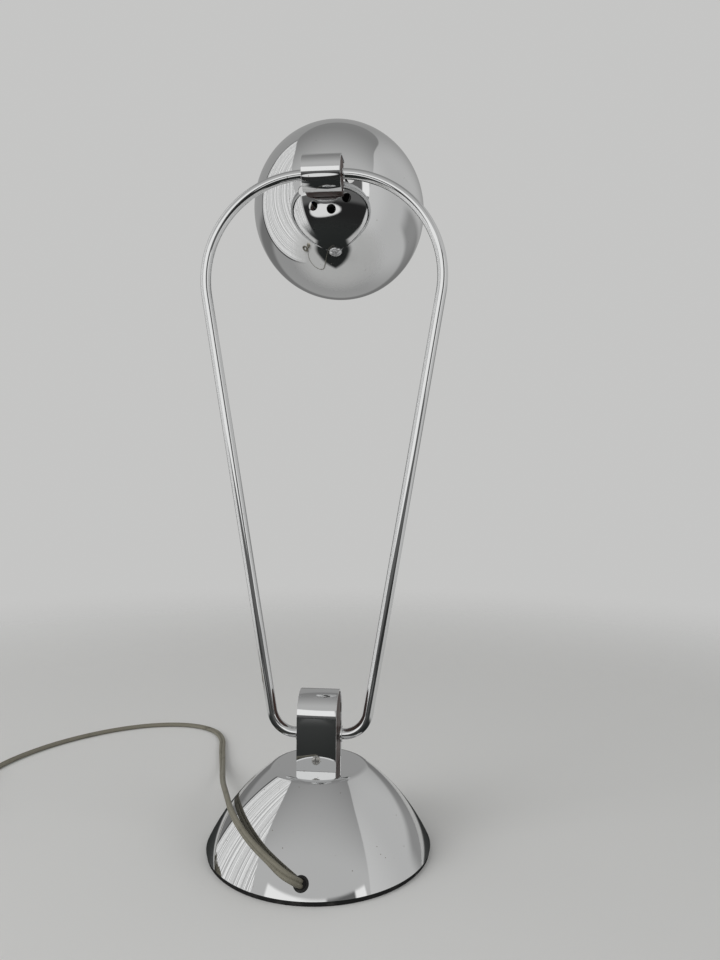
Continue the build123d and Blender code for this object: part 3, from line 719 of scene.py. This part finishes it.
def cord_frames(line):
    """A placement for each point of the cord's line: twisted over the dome, then flat on the table."""
    frames = []
    travelled = 0.0
    for i, spot in enumerate(line):
        ahead = (line[min(i + 1, len(line) - 1)] - line[max(i - 1, 0)]).normalized()
        travelled += (spot - line[i - 1]).length if i else 0
        off_dome = Vector((spot.x, spot.y, spot.z + DOME_MIDDLE_DEPTH)).normalized()
        lie = Vector((1, 0, 0)).lerp(off_dome, ease(travelled, *CORD_OFF_GLAND))
        lie = lie.lerp(Vector((0, 0, 1)), ease(travelled, *CORD_ONTO_TABLE))
        across = ahead.cross(lie).normalized()
        lie = across.cross(ahead)
        twist = CORD_TWIST * ease(travelled, *CORD_TWIST_START) * (1 - ease(travelled, *CORD_TWIST_END))
        lie, across = lie * cos(twist) + across * sin(twist), across * cos(twist) - lie * sin(twist)
        frames.append(Matrix.Translation(spot) @ Matrix((across, ahead, lie)).transposed().to_4x4())
    return frames


def make_cord():
    line = smooth_line(cord_points())
    frames = cord_frames(line)
    lobe = pi - acos(CORD_CORE_OFFSET / CORD_CORE)
    waist = sqrt(CORD_CORE**2 - CORD_CORE_OFFSET**2)
    pen = Pen(0, waist)
    pen.arc(CORD_CORE_OFFSET, 0, -2 * lobe, steps=12)
    pen.arc(-CORD_CORE_OFFSET, 0, -2 * lobe, steps=12)
    bm = pen.close().bm
    ring = bm.edges[:]
    bmesh.ops.transform(bm, matrix=frames[0], verts=bm.verts)
    bmesh.ops.contextual_create(bm, geom=ring)
    for before, here in zip(frames, frames[1:]):
        made = bmesh.ops.extrude_edge_only(bm, edges=ring)["geom"]
        ring = [e for e in made if isinstance(e, bmesh.types.BMEdge)]
        verts = [v for v in made if isinstance(v, bmesh.types.BMVert)]
        bmesh.ops.transform(bm, matrix=here @ before.inverted(), verts=verts)
    bmesh.ops.contextual_create(bm, geom=ring)
    bmesh.ops.recalc_face_normals(bm, faces=bm.faces)
    cord = piece("cord", in_order(bm), CORD_SLEEVE, "base", ["cord_lead", "cord_coil"], sharp=60)
    return cord, [p * MM for p in line]


# Plug, its relief and pins, and the coil's tie
def make_plug():
    end = COIL_CENTRE + Vector((COIL_RADIUS, -COIL_TAIL, PLUG_LINE))
    out = Matrix.Translation(end) @ Matrix.Rotation(pi / 2, 4, "X")
    pen = Pen(0, 0).line(RELIEF_FOOT, 0)
    for rib in range(RELIEF_RIBS):
        pen.lines(RELIEF_RIB, RELIEF_RADIUS + rib * RELIEF_FLARE, RELIEF_FIRST_RIB + rib * RELIEF_RIB_STEP)
    taper = pen.lines(RELIEF_END).revolve(steps=32)
    relief = piece("plug_strain_relief", taper, CORD_SLEEVE, "base", ["plug_relief"], out)

    body = bmesh.new()
    bmesh.ops.create_cube(body, size=1)
    bmesh.ops.scale(body, vec=PLUG_SIZE, verts=body.verts)
    bmesh.ops.translate(body, vec=(0, 0, PLUG_MIDDLE), verts=body.verts)
    near = [v for v in body.verts if v.co.z < PLUG_MIDDLE]
    bmesh.ops.scale(body, vec=PLUG_TAPER, verts=near)
    bmesh.ops.bevel(
        body,
        geom=body.edges[:],
        offset=PLUG_ROUNDING,
        offset_type="OFFSET",
        segments=5,
        profile=0.5,
        affect="EDGES",
        clamp_overlap=True,
        material=-1,
    )
    moulded = piece("plug_shell", body, CORD_SLEEVE, "base", ["plug_body"], out, sharp=60)

    pins = []
    for side in (-1, 1):
        tip = PIN_END - PIN_ROUNDING
        pin = Pen(0, PIN_START).line(PIN_RADIUS, PIN_START).line(PIN_RADIUS, tip)
        pin.arc(PIN_RADIUS - PIN_ROUNDING, tip, pi / 2, steps=6).line(0, PIN_END)
        pins.append(moved(pin.revolve(steps=24), Matrix.Translation((side * PIN_SPREAD, 0, 0))))
    prongs = piece("plug_prongs", join(*pins), BRASS, "base", ["plug_pins"], out)

    return [relief, moulded, prongs]


def make_coil_band():
    low, high = (Vector(corner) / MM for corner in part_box("cord_tie"))
    wide = (high.x - low.x) / 2
    tall = COIL_BAND_HEIGHT / 2
    middle = Vector(((low.x + high.x) / 2, (low.y + high.y) / 2, tall))
    corner = COIL_BAND_CORNER
    pen = Pen(wide - corner, -tall)
    for x, z, start in ((1, -1, -pi / 2), (1, 1, 0), (-1, 1, pi / 2), (-1, -1, pi)):
        centre = (x * (wide - corner), z * (tall - corner))
        pen.line(centre[0] + corner * cos(start), centre[1] + corner * sin(start))
        pen.arc(*centre, pi / 2, steps=6)
    band = soften(pen.close().sheet(high.y - low.y, COIL_BAND_WALL), COIL_BAND_ROUNDING)
    place = Matrix.Translation(middle)
    return piece("coil_band", band, BLACK_RUBBER, "base", ["cord_tie"], place)


place_camera()
cord, cord_line = make_cord()
cord_pieces = make_plug() + [make_coil_band()]


# Base
def make_base_shell():
    top = pi / 2
    inner = FLANK_RADIUS - SHELL_WALL
    rim_angle = asin((PAD_THICKNESS - FLANK_Z) / inner)
    pen = Pen(DOME_HOLE, DOME_HEIGHT).line(SHOULDER_X, DOME_HEIGHT)
    pen.arc(SHOULDER_X, SHOULDER_Z, SHOULDER_ANGLE - top, steps=24)
    rim_stop = asin((PAD_THICKNESS + RIM_ROUNDING - FLANK_Z) / FLANK_RADIUS)
    pen.arc(FLANK_X, FLANK_Z, rim_stop - SHOULDER_ANGLE, steps=40)
    rim = Vector((FLANK_X + FLANK_RADIUS * cos(rim_stop), FLANK_Z + FLANK_RADIUS * sin(rim_stop)))
    pen.arc(rim.x - RIM_ROUNDING, rim.y, -RIM_TURN, steps=5)
    pen.line(FLANK_X + inner * cos(rim_angle), PAD_THICKNESS)
    pen.arc(FLANK_X, FLANK_Z, SHOULDER_ANGLE - rim_angle, steps=24)
    pen.arc(SHOULDER_X, SHOULDER_Z, top - SHOULDER_ANGLE, steps=12)
    pen.line(DOME_HOLE, DOME_HEIGHT - SHELL_WALL)
    shell = pen.close().revolve(steps=160)
    piece("dome", shell, CHROME, "base", ["base_shell"], sharp=30)


def make_foot_pad():
    pen = Pen(0, 0).line(PAD_RADIUS - PAD_ROUNDING, 0)
    pen.arc(PAD_RADIUS - PAD_ROUNDING, PAD_ROUNDING, pi / 2, steps=4)
    pen.line(PAD_RADIUS, PAD_THICKNESS).line(0, PAD_THICKNESS)
    piece("foot_ring", pen.revolve(steps=160), BLACK_RUBBER, "base", ["foot_pad"])


def make_gland():
    top, outer, inner = GLAND_FLANGE_HEIGHT, GLAND_FLANGE_ROUNDING, GLAND_BORE_ROUNDING
    pen = Pen(*GLAND_INSIDE[0]).lines(GLAND_INSIDE[1:])
    pen.line(GLAND_FLANGE, 0).line(GLAND_FLANGE, top - outer)
    pen.arc(GLAND_FLANGE - outer, top - outer, pi / 2, steps=5)
    pen.line(GLAND_BORE + inner, top).arc(GLAND_BORE + inner, top - inner, pi / 2, steps=4)
    pen.line(GLAND_BORE, GLAND_BORE_FLOOR).line(0, GLAND_BORE_FLOOR)
    square = GLAND_OUT.to_track_quat("Z", "Y").to_matrix().to_4x4()
    place = Matrix.Translation(GLAND_POINT) @ square
    piece("grommet", pen.revolve(steps=40), BLACK_RUBBER, "base", ["cord_gland"], place)


def make_base_clip():
    arc_level = BASE_CLIP_TOP - BASE_CLIP_HALF_DEPTH
    pen = Pen(-BASE_CLIP_HALF_DEPTH, DOME_HEIGHT).line(-BASE_CLIP_HALF_DEPTH, arc_level)
    pen.arc(0, arc_level, -pi, steps=40).line(BASE_CLIP_HALF_DEPTH, DOME_HEIGHT)
    strap = soften(pen.sheet(STRAP_WIDTH, STRAP), STRAP_ROUNDING, angle=60)
    piece("base_strap", strap, CHROME, "base", ["base_clip"], BASE_CLIP_PLACE)

    half = BASE_CLIP_HALF_DEPTH - STRAP - CORE_GAP
    pen = Pen(-half, DOME_HEIGHT).line(-half, arc_level)
    pen.arc(0, arc_level, -pi, steps=40).line(half, DOME_HEIGHT)
    core = soften(pen.close().prism(CORE_WIDTH), BASE_CORE_ROUNDING, segments=3, angle=60)
    piece("base_strap_core", core, CLIP_CORE, "base", ["base_clip_core"], BASE_CLIP_PLACE)


def make_clip_screws():
    screws = []
    for side in (-1, 1):
        pen = Pen(*SCREW_SHANK[0]).lines(SCREW_SHANK[1:]).lines(SCREW_HEAD)
        slot = bmesh.new()
        across = Matrix.Translation((0, 0, SCREW_SLOT_LEVEL)) @ Matrix.Diagonal((*SCREW_SLOT, 1))
        bmesh.ops.create_cube(slot, size=1, matrix=across)
        lean = Matrix.Rotation(-side * pi / 2, 4, "X")
        there = Matrix.Translation((0, side * BASE_CLIP_HALF_DEPTH, CLIP_SCREW_LEVEL))
        screws.append(moved(cut(pen.revolve(steps=32), slot), there @ lean))
    piece("strap_screws", join(*screws), ZINC_STEEL, "base", ["clip_screws"])


# Bent tube and its collars
def make_frame_tube():
    bm = bmesh.new()
    start = Matrix.Translation((-TUBE_END, 0, PIVOT_HEIGHT)) @ Matrix.Rotation(pi / 2, 4, "Y")
    bmesh.ops.create_circle(bm, segments=40, radius=TUBE_RADIUS, matrix=start)
    ring = bm.edges[:]

    def only(geom, kind):
        return [g for g in geom if isinstance(g, kind)]

    def run(ring, x, z):
        made = bmesh.ops.extrude_edge_only(bm, edges=ring)["geom"]
        bmesh.ops.translate(bm, vec=(x, 0, z), verts=only(made, bmesh.types.BMVert))
        return only(made, bmesh.types.BMEdge)

    def bend(ring, x, z, turn, steps):
        centre = (x, 0, z)
        made = bmesh.ops.spin(bm, geom=ring, cent=centre, axis=(0, -1, 0), angle=turn, steps=steps)
        return only(made["geom_last"], bmesh.types.BMEdge)

    lower_turn = pi / 2 - LEG_LEAN
    lower_tangent = LOWER_BEND * tan(lower_turn / 2)
    arch_turn = pi / 2 + LEG_LEAN
    arch_tangent = ARCH_BEND * tan(arch_turn / 2)
    leg = (LOOP_HEIGHT - PIVOT_HEIGHT) / cos(LEG_LEAN)
    leg_run = leg - lower_tangent - arch_tangent
    arch_corner = LEG_FOOT_SPREAD + (LOOP_HEIGHT - PIVOT_HEIGHT) * tan(LEG_LEAN)
    bend_start = LEG_FOOT_SPREAD - lower_tangent
    top_half = arch_corner - arch_tangent
    ring = run(ring, TUBE_END - bend_start, 0)
    ring = bend(ring, -bend_start, PIVOT_HEIGHT + LOWER_BEND, -lower_turn, steps=24)
    ring = run(ring, -leg_run * sin(LEG_LEAN), leg_run * cos(LEG_LEAN))
    ring = bend(ring, -top_half, LOOP_HEIGHT - ARCH_BEND, -arch_turn, steps=64)
    run(ring, top_half, 0)
    bmesh.ops.mirror(bm, geom=bm.verts[:] + bm.edges[:] + bm.faces[:], axis="X", merge_dist=0.01)
    bmesh.ops.holes_fill(bm, edges=bm.edges, sides=0)
    bmesh.ops.recalc_face_normals(bm, faces=bm.faces)
    piece("loop", bm, CHROME, "frame", ["frame_tube"], sharp=60)


def make_collars():
    collars = []
    for side in (-1, 1):
        pen = Pen(COLLAR_BORE, COLLAR_START).line(COLLAR_RADIUS, COLLAR_START)
        pen.line(COLLAR_RADIUS, COLLAR_START + COLLAR_WIDTH)
        pen.line(COLLAR_BORE, COLLAR_START + COLLAR_WIDTH)
        ring = soften(pen.close().revolve(steps=40), COLLAR_ROUNDING, segments=3)
        across = Matrix.Translation((0, 0, PIVOT_HEIGHT)) @ Matrix.Rotation(side * pi / 2, 4, "Y")
        collars.append(moved(ring, across))
    piece("loop_collars", join(*collars), CHROME, "frame", ["tube_collars"])


# Head
def make_head_clip():
    tail = asin(HEAD_CLIP_TAIL / HEAD_CLIP_RADIUS)
    bend_level = HEAD_CLIP_RADIUS - HEAD_LIP_BEND
    shoulder = bend_level - HEAD_LIP_SHOULDER
    pen = Pen(-HEAD_CLIP_TAIL, -HEAD_CLIP_RADIUS * cos(tail)).arc(0, 0, tail - pi, steps=40)
    pen.line(HEAD_CLIP_REACH - HEAD_LIP_BEND, HEAD_CLIP_RADIUS)
    pen.arc(HEAD_CLIP_REACH - HEAD_LIP_BEND, bend_level, -pi / 2, steps=6)
    pen.line(HEAD_CLIP_REACH, shoulder).line(HEAD_CLIP_REACH, -HEAD_LIP_DROP)
    bm = pen.sheet(STRAP_WIDTH, STRAP)
    lip_start, lip_top = HEAD_CLIP_REACH - 1.5 * STRAP, shoulder + STRAP / 2
    lip = [v for v in bm.verts if v.co.x > lip_start and v.co.z < lip_top]
    bmesh.ops.scale(bm, vec=(1, HEAD_LIP_WIDTH / STRAP_WIDTH, 1), verts=lip)
    soften(bm, STRAP_ROUNDING, angle=60)
    piece("head_strap", bm, CHROME, "head", ["head_clip"], HEAD_CLIP_PLACE)

    half = HEAD_CLIP_RADIUS - STRAP - CORE_GAP
    front = HEAD_CLIP_REACH - STRAP
    pen = Pen(front, -half).line(0, -half).arc(0, 0, -pi, steps=40).line(front, half)
    core = soften(pen.close().prism(CORE_WIDTH), HEAD_CORE_ROUNDING, segments=3, angle=60)
    piece("head_strap_core", core, CLIP_CORE, "head", ["head_clip_core"], HEAD_CLIP_PLACE)


def shade_section():
    """The shade's outline: seat, back, side, rolled rim, and the same inside."""
    seat = HEAD_CLIP_REACH
    seat_angle = asin((seat - POLE_CENTRE) / SHADE_POLE_RADIUS)
    inner_seat_angle = asin((seat + SHADE_WALL - POLE_CENTRE) / (SHADE_POLE_RADIUS - SHADE_WALL))
    mouth_angle = asin(SHADE_PAST_EQUATOR / SWELL_RADIUS)
    bead_x = SWELL_X + (SWELL_RADIUS - SHADE_WALL / 2) * cos(mouth_angle)
    bead_z = SHADE_CENTRE + SHADE_PAST_EQUATOR
    gape = asin(SHADE_WALL / 2 / SHADE_BEAD)
    pen = Pen(STEM_HOLE, seat).line(SHADE_POLE_RADIUS * cos(seat_angle), seat)
    pen.arc(0, POLE_CENTRE, MEETING_ANGLE - seat_angle, steps=36)
    pen.arc(SWELL_X, SHADE_CENTRE, mouth_angle - MEETING_ANGLE - SHADE_BEAD / SWELL_RADIUS, steps=40)
    first = mouth_angle - pi / 2 + gape
    pen.line(bead_x + SHADE_BEAD * cos(first), bead_z + SHADE_BEAD * sin(first))
    pen.arc(bead_x, bead_z, 2 * pi - 2 * gape, steps=16)
    inner = SWELL_RADIUS - SHADE_WALL
    stop = mouth_angle - SHADE_BEAD / SWELL_RADIUS
    pen.line(SWELL_X + inner * cos(stop), SHADE_CENTRE + inner * sin(stop))
    pen.arc(SWELL_X, SHADE_CENTRE, MEETING_ANGLE - stop, steps=40)
    pen.arc(0, POLE_CENTRE, inner_seat_angle - MEETING_ANGLE, steps=36)
    pen.line(STEM_HOLE, seat + SHADE_WALL)
    return pen.close()


def egg_normal(point):
    """Which way the shade's skin faces at a point, and how far the point is from the outer skin."""
    reach = Vector((point.x, point.y, 0)).length
    around = Vector((point.x, point.y, 0)).normalized()
    pole = Vector((reach, point.z - POLE_CENTRE))
    swell = Vector((reach - SWELL_X, point.z - SHADE_CENTRE))
    on_pole = atan2(swell.y, swell.x) < MEETING_ANGLE
    out, radius = (pole, SHADE_POLE_RADIUS) if on_pole else (swell, SWELL_RADIUS)
    depth = radius - out.length
    out = out.normalized()
    return around * out.x + Vector((0, 0, out.y)), depth


def make_shade():
    shell = shade_section().revolve(steps=192)
    drills = []
    for vent in range(VENT_COUNT):
        angle = VENT_TURN + vent * 2 * pi / VENT_COUNT
        drill = bmesh.new()
        there = Matrix.Translation((VENT_CIRCLE * cos(angle), VENT_CIRCLE * sin(angle), VENT_DRILL_MIDDLE))
        bmesh.ops.create_cone(
            drill,
            cap_ends=True,
            segments=40,
            radius1=VENT_RADIUS,
            radius2=VENT_RADIUS,
            depth=VENT_DRILL_LENGTH,
            matrix=there,
        )
        drills.append(drill)
    shell = cut(shell, join(*drills))
    for face in shell.faces:
        facing, depth = egg_normal(face.calc_center_median())
        face.material_index = int(depth > SHADE_WALL / 2 and face.normal.dot(facing) < 0)
    skins = [CHROME, INNER_LACQUER]
    shade = piece("egg_shade", shell, skins, "head", ["shade"], SHADE_PLACE, sharp=40)

    # The skin's own normals, so that the cut holes leave no trace in the reflections
    mesh = shade.data
    back = SHADE_PLACE.inverted()
    normals = [Vector()] * len(mesh.loops)
    for face in mesh.polygons:
        centre = back @ (face.center / MM)
        depth = egg_normal(centre)[1]
        outside = depth < SHADE_WALL / 2
        skin = 0.0 if outside else SHADE_WALL
        seat = HEAD_CLIP_REACH + skin
        if abs(depth - skin) > SKIN_TOLERANCE or centre.z < seat + SEAT_FACE_MARGIN:
            continue
        for loop in face.loop_indices:
            spot = back @ (mesh.vertices[mesh.loops[loop].vertex_index].co / MM)
            if spot.z < seat + SEAT_CORNER_MARGIN:
                continue
            facing = egg_normal(spot)[0]
            normals[loop] = (SHADE_PLACE.to_3x3() @ facing) * (1 if outside else -1)
    mesh.normals_split_custom_set(normals)


def make_bulb():
    holder = Pen(*HOLDER_BACK[0]).lines(HOLDER_BACK[1:])
    for groove in range(HOLDER_GROOVES):
        holder.lines(HOLDER_GROOVE, z=HOLDER_FIRST_GROOVE + groove * HOLDER_GROOVE_STEP)
    body = soften(holder.lines(HOLDER_MOUTH).close().revolve(steps=64), HOLDER_ROUNDING)
    piece("bulb_holder", body, BLACK_PLASTIC, "head", ["lamp_holder"], SHADE_PLACE)

    cap = Pen(*CAP_FOOT[0]).lines(CAP_FOOT[1:])
    for thread in range(CAP_THREADS):
        cap.lines(CAP_THREAD, z=CAP_FIRST_THREAD + thread * CAP_THREAD_STEP)
    shell = cap.lines(CAP_COLLAR).revolve(steps=48)
    piece("bulb_screw_cap", shell, CAP_ALUMINIUM, "head", ["bulb_cap"], SHADE_PLACE, sharp=50)

    reach = BULB_RADIUS + BULB_BLEND
    side = BULB_NECK + BULB_BLEND
    lean = acos(side / reach)
    blend_level = BULB_MIDDLE - reach * sin(lean)
    glass = Pen(0, BULB_FOOT).line(BULB_NECK, BULB_FOOT).line(BULB_NECK, blend_level)
    glass.arc(side, blend_level, -lean, steps=10)
    globe = glass.arc(0, BULB_MIDDLE, lean + pi / 2, steps=40).revolve(steps=72)
    piece("bulb", globe, FROSTED_GLASS, "head", ["bulb_glass"], SHADE_PLACE, sharp=50)


make_base_shell()
make_foot_pad()
make_gland()
make_base_clip()
make_clip_screws()
make_frame_tube()
make_collars()
make_head_clip()
make_shade()
make_bulb()

# The CAD nodes that stay as they are, with their finishes
KEPT = {
    ZINC_STEEL: ["base_plate", "plate_screws", "clip_stem", "stem_nut", "head_stem", "head_nut"],
    CAST_IRON: ["base_weight"],
    NYLON: ["pivot_bushes"],
    WHITE_PLASTIC: ["terminal_block"],
    BLACK_PLASTIC: ["touch_module"],
    BRASS: ["terminal_screws", "holder_sleeve", "holder_contact"],
    LEAD_SLEEVE: ["supply_leads", "frame_leads"],
}
for finish, names in KEPT.items():
    for name in names:
        frame["nodes"][name].data.materials.clear()
        frame["nodes"][name].data.materials.append(finish)


# Stage: a pale floor that fades into a plain pale background, and a soft studio round it, in metres
FLOOR_RADIUS = 1.6
FLOOR_PAINT = (0.74, 0.74, 0.73)
FLOOR_FADE = (0.35, 1.1)
MIRRORED_FADE = 0.6
FLAG_PAINT = (0.012, 0.015, 0.014)
FLAG_MIDDLE = -0.02
FLAG_HALF_WIDTH = 0.19
FLAG_FLARE = 1.9
FLAG_FLARE_START = -0.12
FLAG_ROUND_START = -0.02
FLAG_ROUND_LENGTH = 0.2
FLAG_EDGE = 0.06
BACKGROUND_LIGHT = 0.56
NEVER_ZERO = 0.001
STAGE_MIDDLE = (0, 0, 0.2)


def make_floor():
    """The floor; the chrome mirrors a dark flag that lies on it round the lamp."""
    bm = bmesh.new()
    bmesh.ops.create_circle(bm, cap_ends=True, segments=96, radius=FLOOR_RADIUS)
    mesh = bpy.data.meshes.new("floor")
    bm.to_mesh(mesh)
    bm.free()
    floor = bpy.data.objects.new("floor", mesh)
    bpy.context.scene.collection.objects.link(floor)
    finish = Finish("floor_paint", roughness=0.7)
    x, y = (finish.node("SeparateXYZ", {}, {"Vector": finish.spot}, output=axis) for axis in "XY")
    mirrored = finish.node("LightPath", {}, {}, output="Is Glossy Ray")
    half = FLAG_HALF_WIDTH + (FLAG_FLARE_START - y).at_least(0) * FLAG_FLARE
    rounding = (y - FLAG_ROUND_START).at_least(0) / FLAG_ROUND_LENGTH
    flag = (half * (1 - rounding * rounding) - abs(x - FLAG_MIDDLE)).step(0, FLAG_EDGE)
    finish.set("Base Color", finish.mix(mirrored * flag, FLOOR_PAINT, FLAG_PAINT))
    distance = finish.node("VectorMath", {"operation": "LENGTH"}, {0: finish.spot}, output="Value")
    finish.set("Alpha", 1 - (distance * (1 + mirrored * MIRRORED_FADE)).step(*FLOOR_FADE))
    mesh.materials.append(finish.material)


def studio_walls(x, y, z):
    """Pale walls, lighter at the right and behind the camera, dimmer ahead at the lamp's own level."""
    walls, right_more, back_more, dimmer = 0.33, 0.2, 0.1, 0.45
    right, back, ahead, height, height_edge = (0.1, 0.7), (-0.2, 0.6), (0.3, 0.6), 0.22, 0.12
    light = walls + x.step(*right) * right_more + (0 - y).step(*back) * back_more
    return light * (1 - y.step(*ahead) * abs(z).below(height, height_edge) * dimmer)


def with_left_panel(light, room, x, y, z):
    """The light with a tall pleated panel at the left, and the dark border at the panel's far end."""
    side, foot, near_end, far_end, border_end = (0.02, 0.06), (-1.4, -1.3), (-1.4, -1.3), 0.62, 0.67
    edge, fold_density, fold_edge = 0.02, 8, (0.38, 0.62)
    fold_dark, fold_more, border_dark = 0.4, 0.62, 0.04
    along, level = y / (abs(x) + NEVER_ZERO), z / (abs(x) + NEVER_ZERO)
    left = (0 - x).step(*side) * level.step(*foot)
    panel = left * along.step(*near_end) * along.below(far_end, edge)
    border = left * along.step(far_end - edge / 2, far_end + edge / 2) * along.below(border_end, edge)
    sockets = {"W": along * fold_density, "Detail": 2, "Roughness": 0.5}
    folds = room.node("TexNoise", {"noise_dimensions": "1D"}, sockets)
    light = light.covered(panel, fold_dark + folds.step(*fold_edge) * fold_more)
    return light.covered(border, border_dark)


def with_ceiling(light, x, y, z):
    """The light with a grey ceiling panel, round ahead of the lamp and wider towards the camera."""
    horizon, flare, flare_bend, narrowing, size, edge = (0.05, 0.1), 0.62, 0.05, 1.3, 0.6, 0.06
    dark, more, brighter_from, brighter_to = 0.24, 0.27, 0.5, -1.1
    reach, spread = y / (abs(z) + NEVER_ZERO), abs(x) / (abs(z) + NEVER_ZERO)
    widening = ((reach * reach + flare_bend).root() - reach) * flare
    beside = (spread - widening).at_least(0) * narrowing
    ahead = reach.at_least(0)
    panel = z.step(*horizon) * (size - beside * beside - ahead * ahead).step(0, edge)
    return light.covered(panel, dark + reach.below(brighter_from, brighter_from - brighter_to) * more)


def with_back(light, x, y, z):
    """The light with what is behind the camera: a strip, dim in one stretch, over a dark flag with a card."""
    nearest, left_end, right_end, right_edge = (0.3, 0.36), (-1.0, -0.9), 1.45, 0.1
    strip_top, flag_top, top_edge = 0.42, 0, 0.03
    strip_bright, dim_start, dim_end, dim_edge, dimmer = 0.95, (0.24, 0.32), 1, 0.08, 0.82
    flag_dark, flag_more, flag_lighter = 0.02, 0.1, (-0.27, -0.15)
    card_middle, card_half, card_edge, card_bright = (-0.22, -0.4), (0.52, 0.16), 0.35, 0.8
    sideways = x / (abs(y) + NEVER_ZERO)
    back = (0 - y).step(*nearest) * sideways.step(*left_end) * sideways.below(right_end, right_edge)
    dim = sideways.step(*dim_start) * sideways.below(dim_end, dim_edge)
    light = light.covered(back * z.below(strip_top, top_edge), strip_bright - dim * dimmer)
    card_x, card_z = (sideways - card_middle[0]) / card_half[0], (z - card_middle[1]) / card_half[1]
    card = (1 - card_x * card_x - card_z * card_z).step(0, card_edge)
    flag = flag_dark + z.step(*flag_lighter) * flag_more
    return light.covered(back * z.below(flag_top, top_edge), card * card_bright + flag)


def make_world():
    """A plain background; the chrome mirrors a pale studio."""
    world = bpy.data.worlds.new("studio")
    bpy.context.scene.world = world
    world.use_nodes = True
    room = Nodes(world.node_tree)
    direction = room.node("TexCoord", {}, {}, output="Generated")
    x, y, z = (room.node("SeparateXYZ", {}, {"Vector": direction}, output=axis) for axis in "XYZ")
    seen = room.node("LightPath", {}, {}, output="Is Camera Ray")
    light = with_left_panel(studio_walls(x, y, z), room, x, y, z)
    light = with_back(with_ceiling(light, x, y, z), x, y, z)
    light = light.covered(seen, BACKGROUND_LIGHT)
    background = world.node_tree.nodes["Background"]
    room.feed(background.inputs["Color"], (1, 1, 0.99, 1))
    room.feed(background.inputs["Strength"], light)


def make_studio_light(name, place, size, power):
    data = bpy.data.lights.new(name, "AREA")
    data.shape = "RECTANGLE"
    data.size, data.size_y = size
    data.energy = power
    lamp = bpy.data.objects.new(name, data)
    lamp.visible_glossy = False
    bpy.context.scene.collection.objects.link(lamp)
    place = Vector(place)
    facing = (Vector(STAGE_MIDDLE) - place).to_track_quat("-Z", "Y")
    lamp.matrix_world = Matrix.Translation(place) @ facing.to_matrix().to_4x4()


make_floor()
make_world()
make_studio_light("window", place=(-1.3, -1.0, 1.1), size=(1.0, 1.2), power=14)
make_studio_light("fill", place=(1.4, -0.6, 1.2), size=(0.8, 0.8), power=4)
bpy.context.scene.view_settings.view_transform = "Standard"
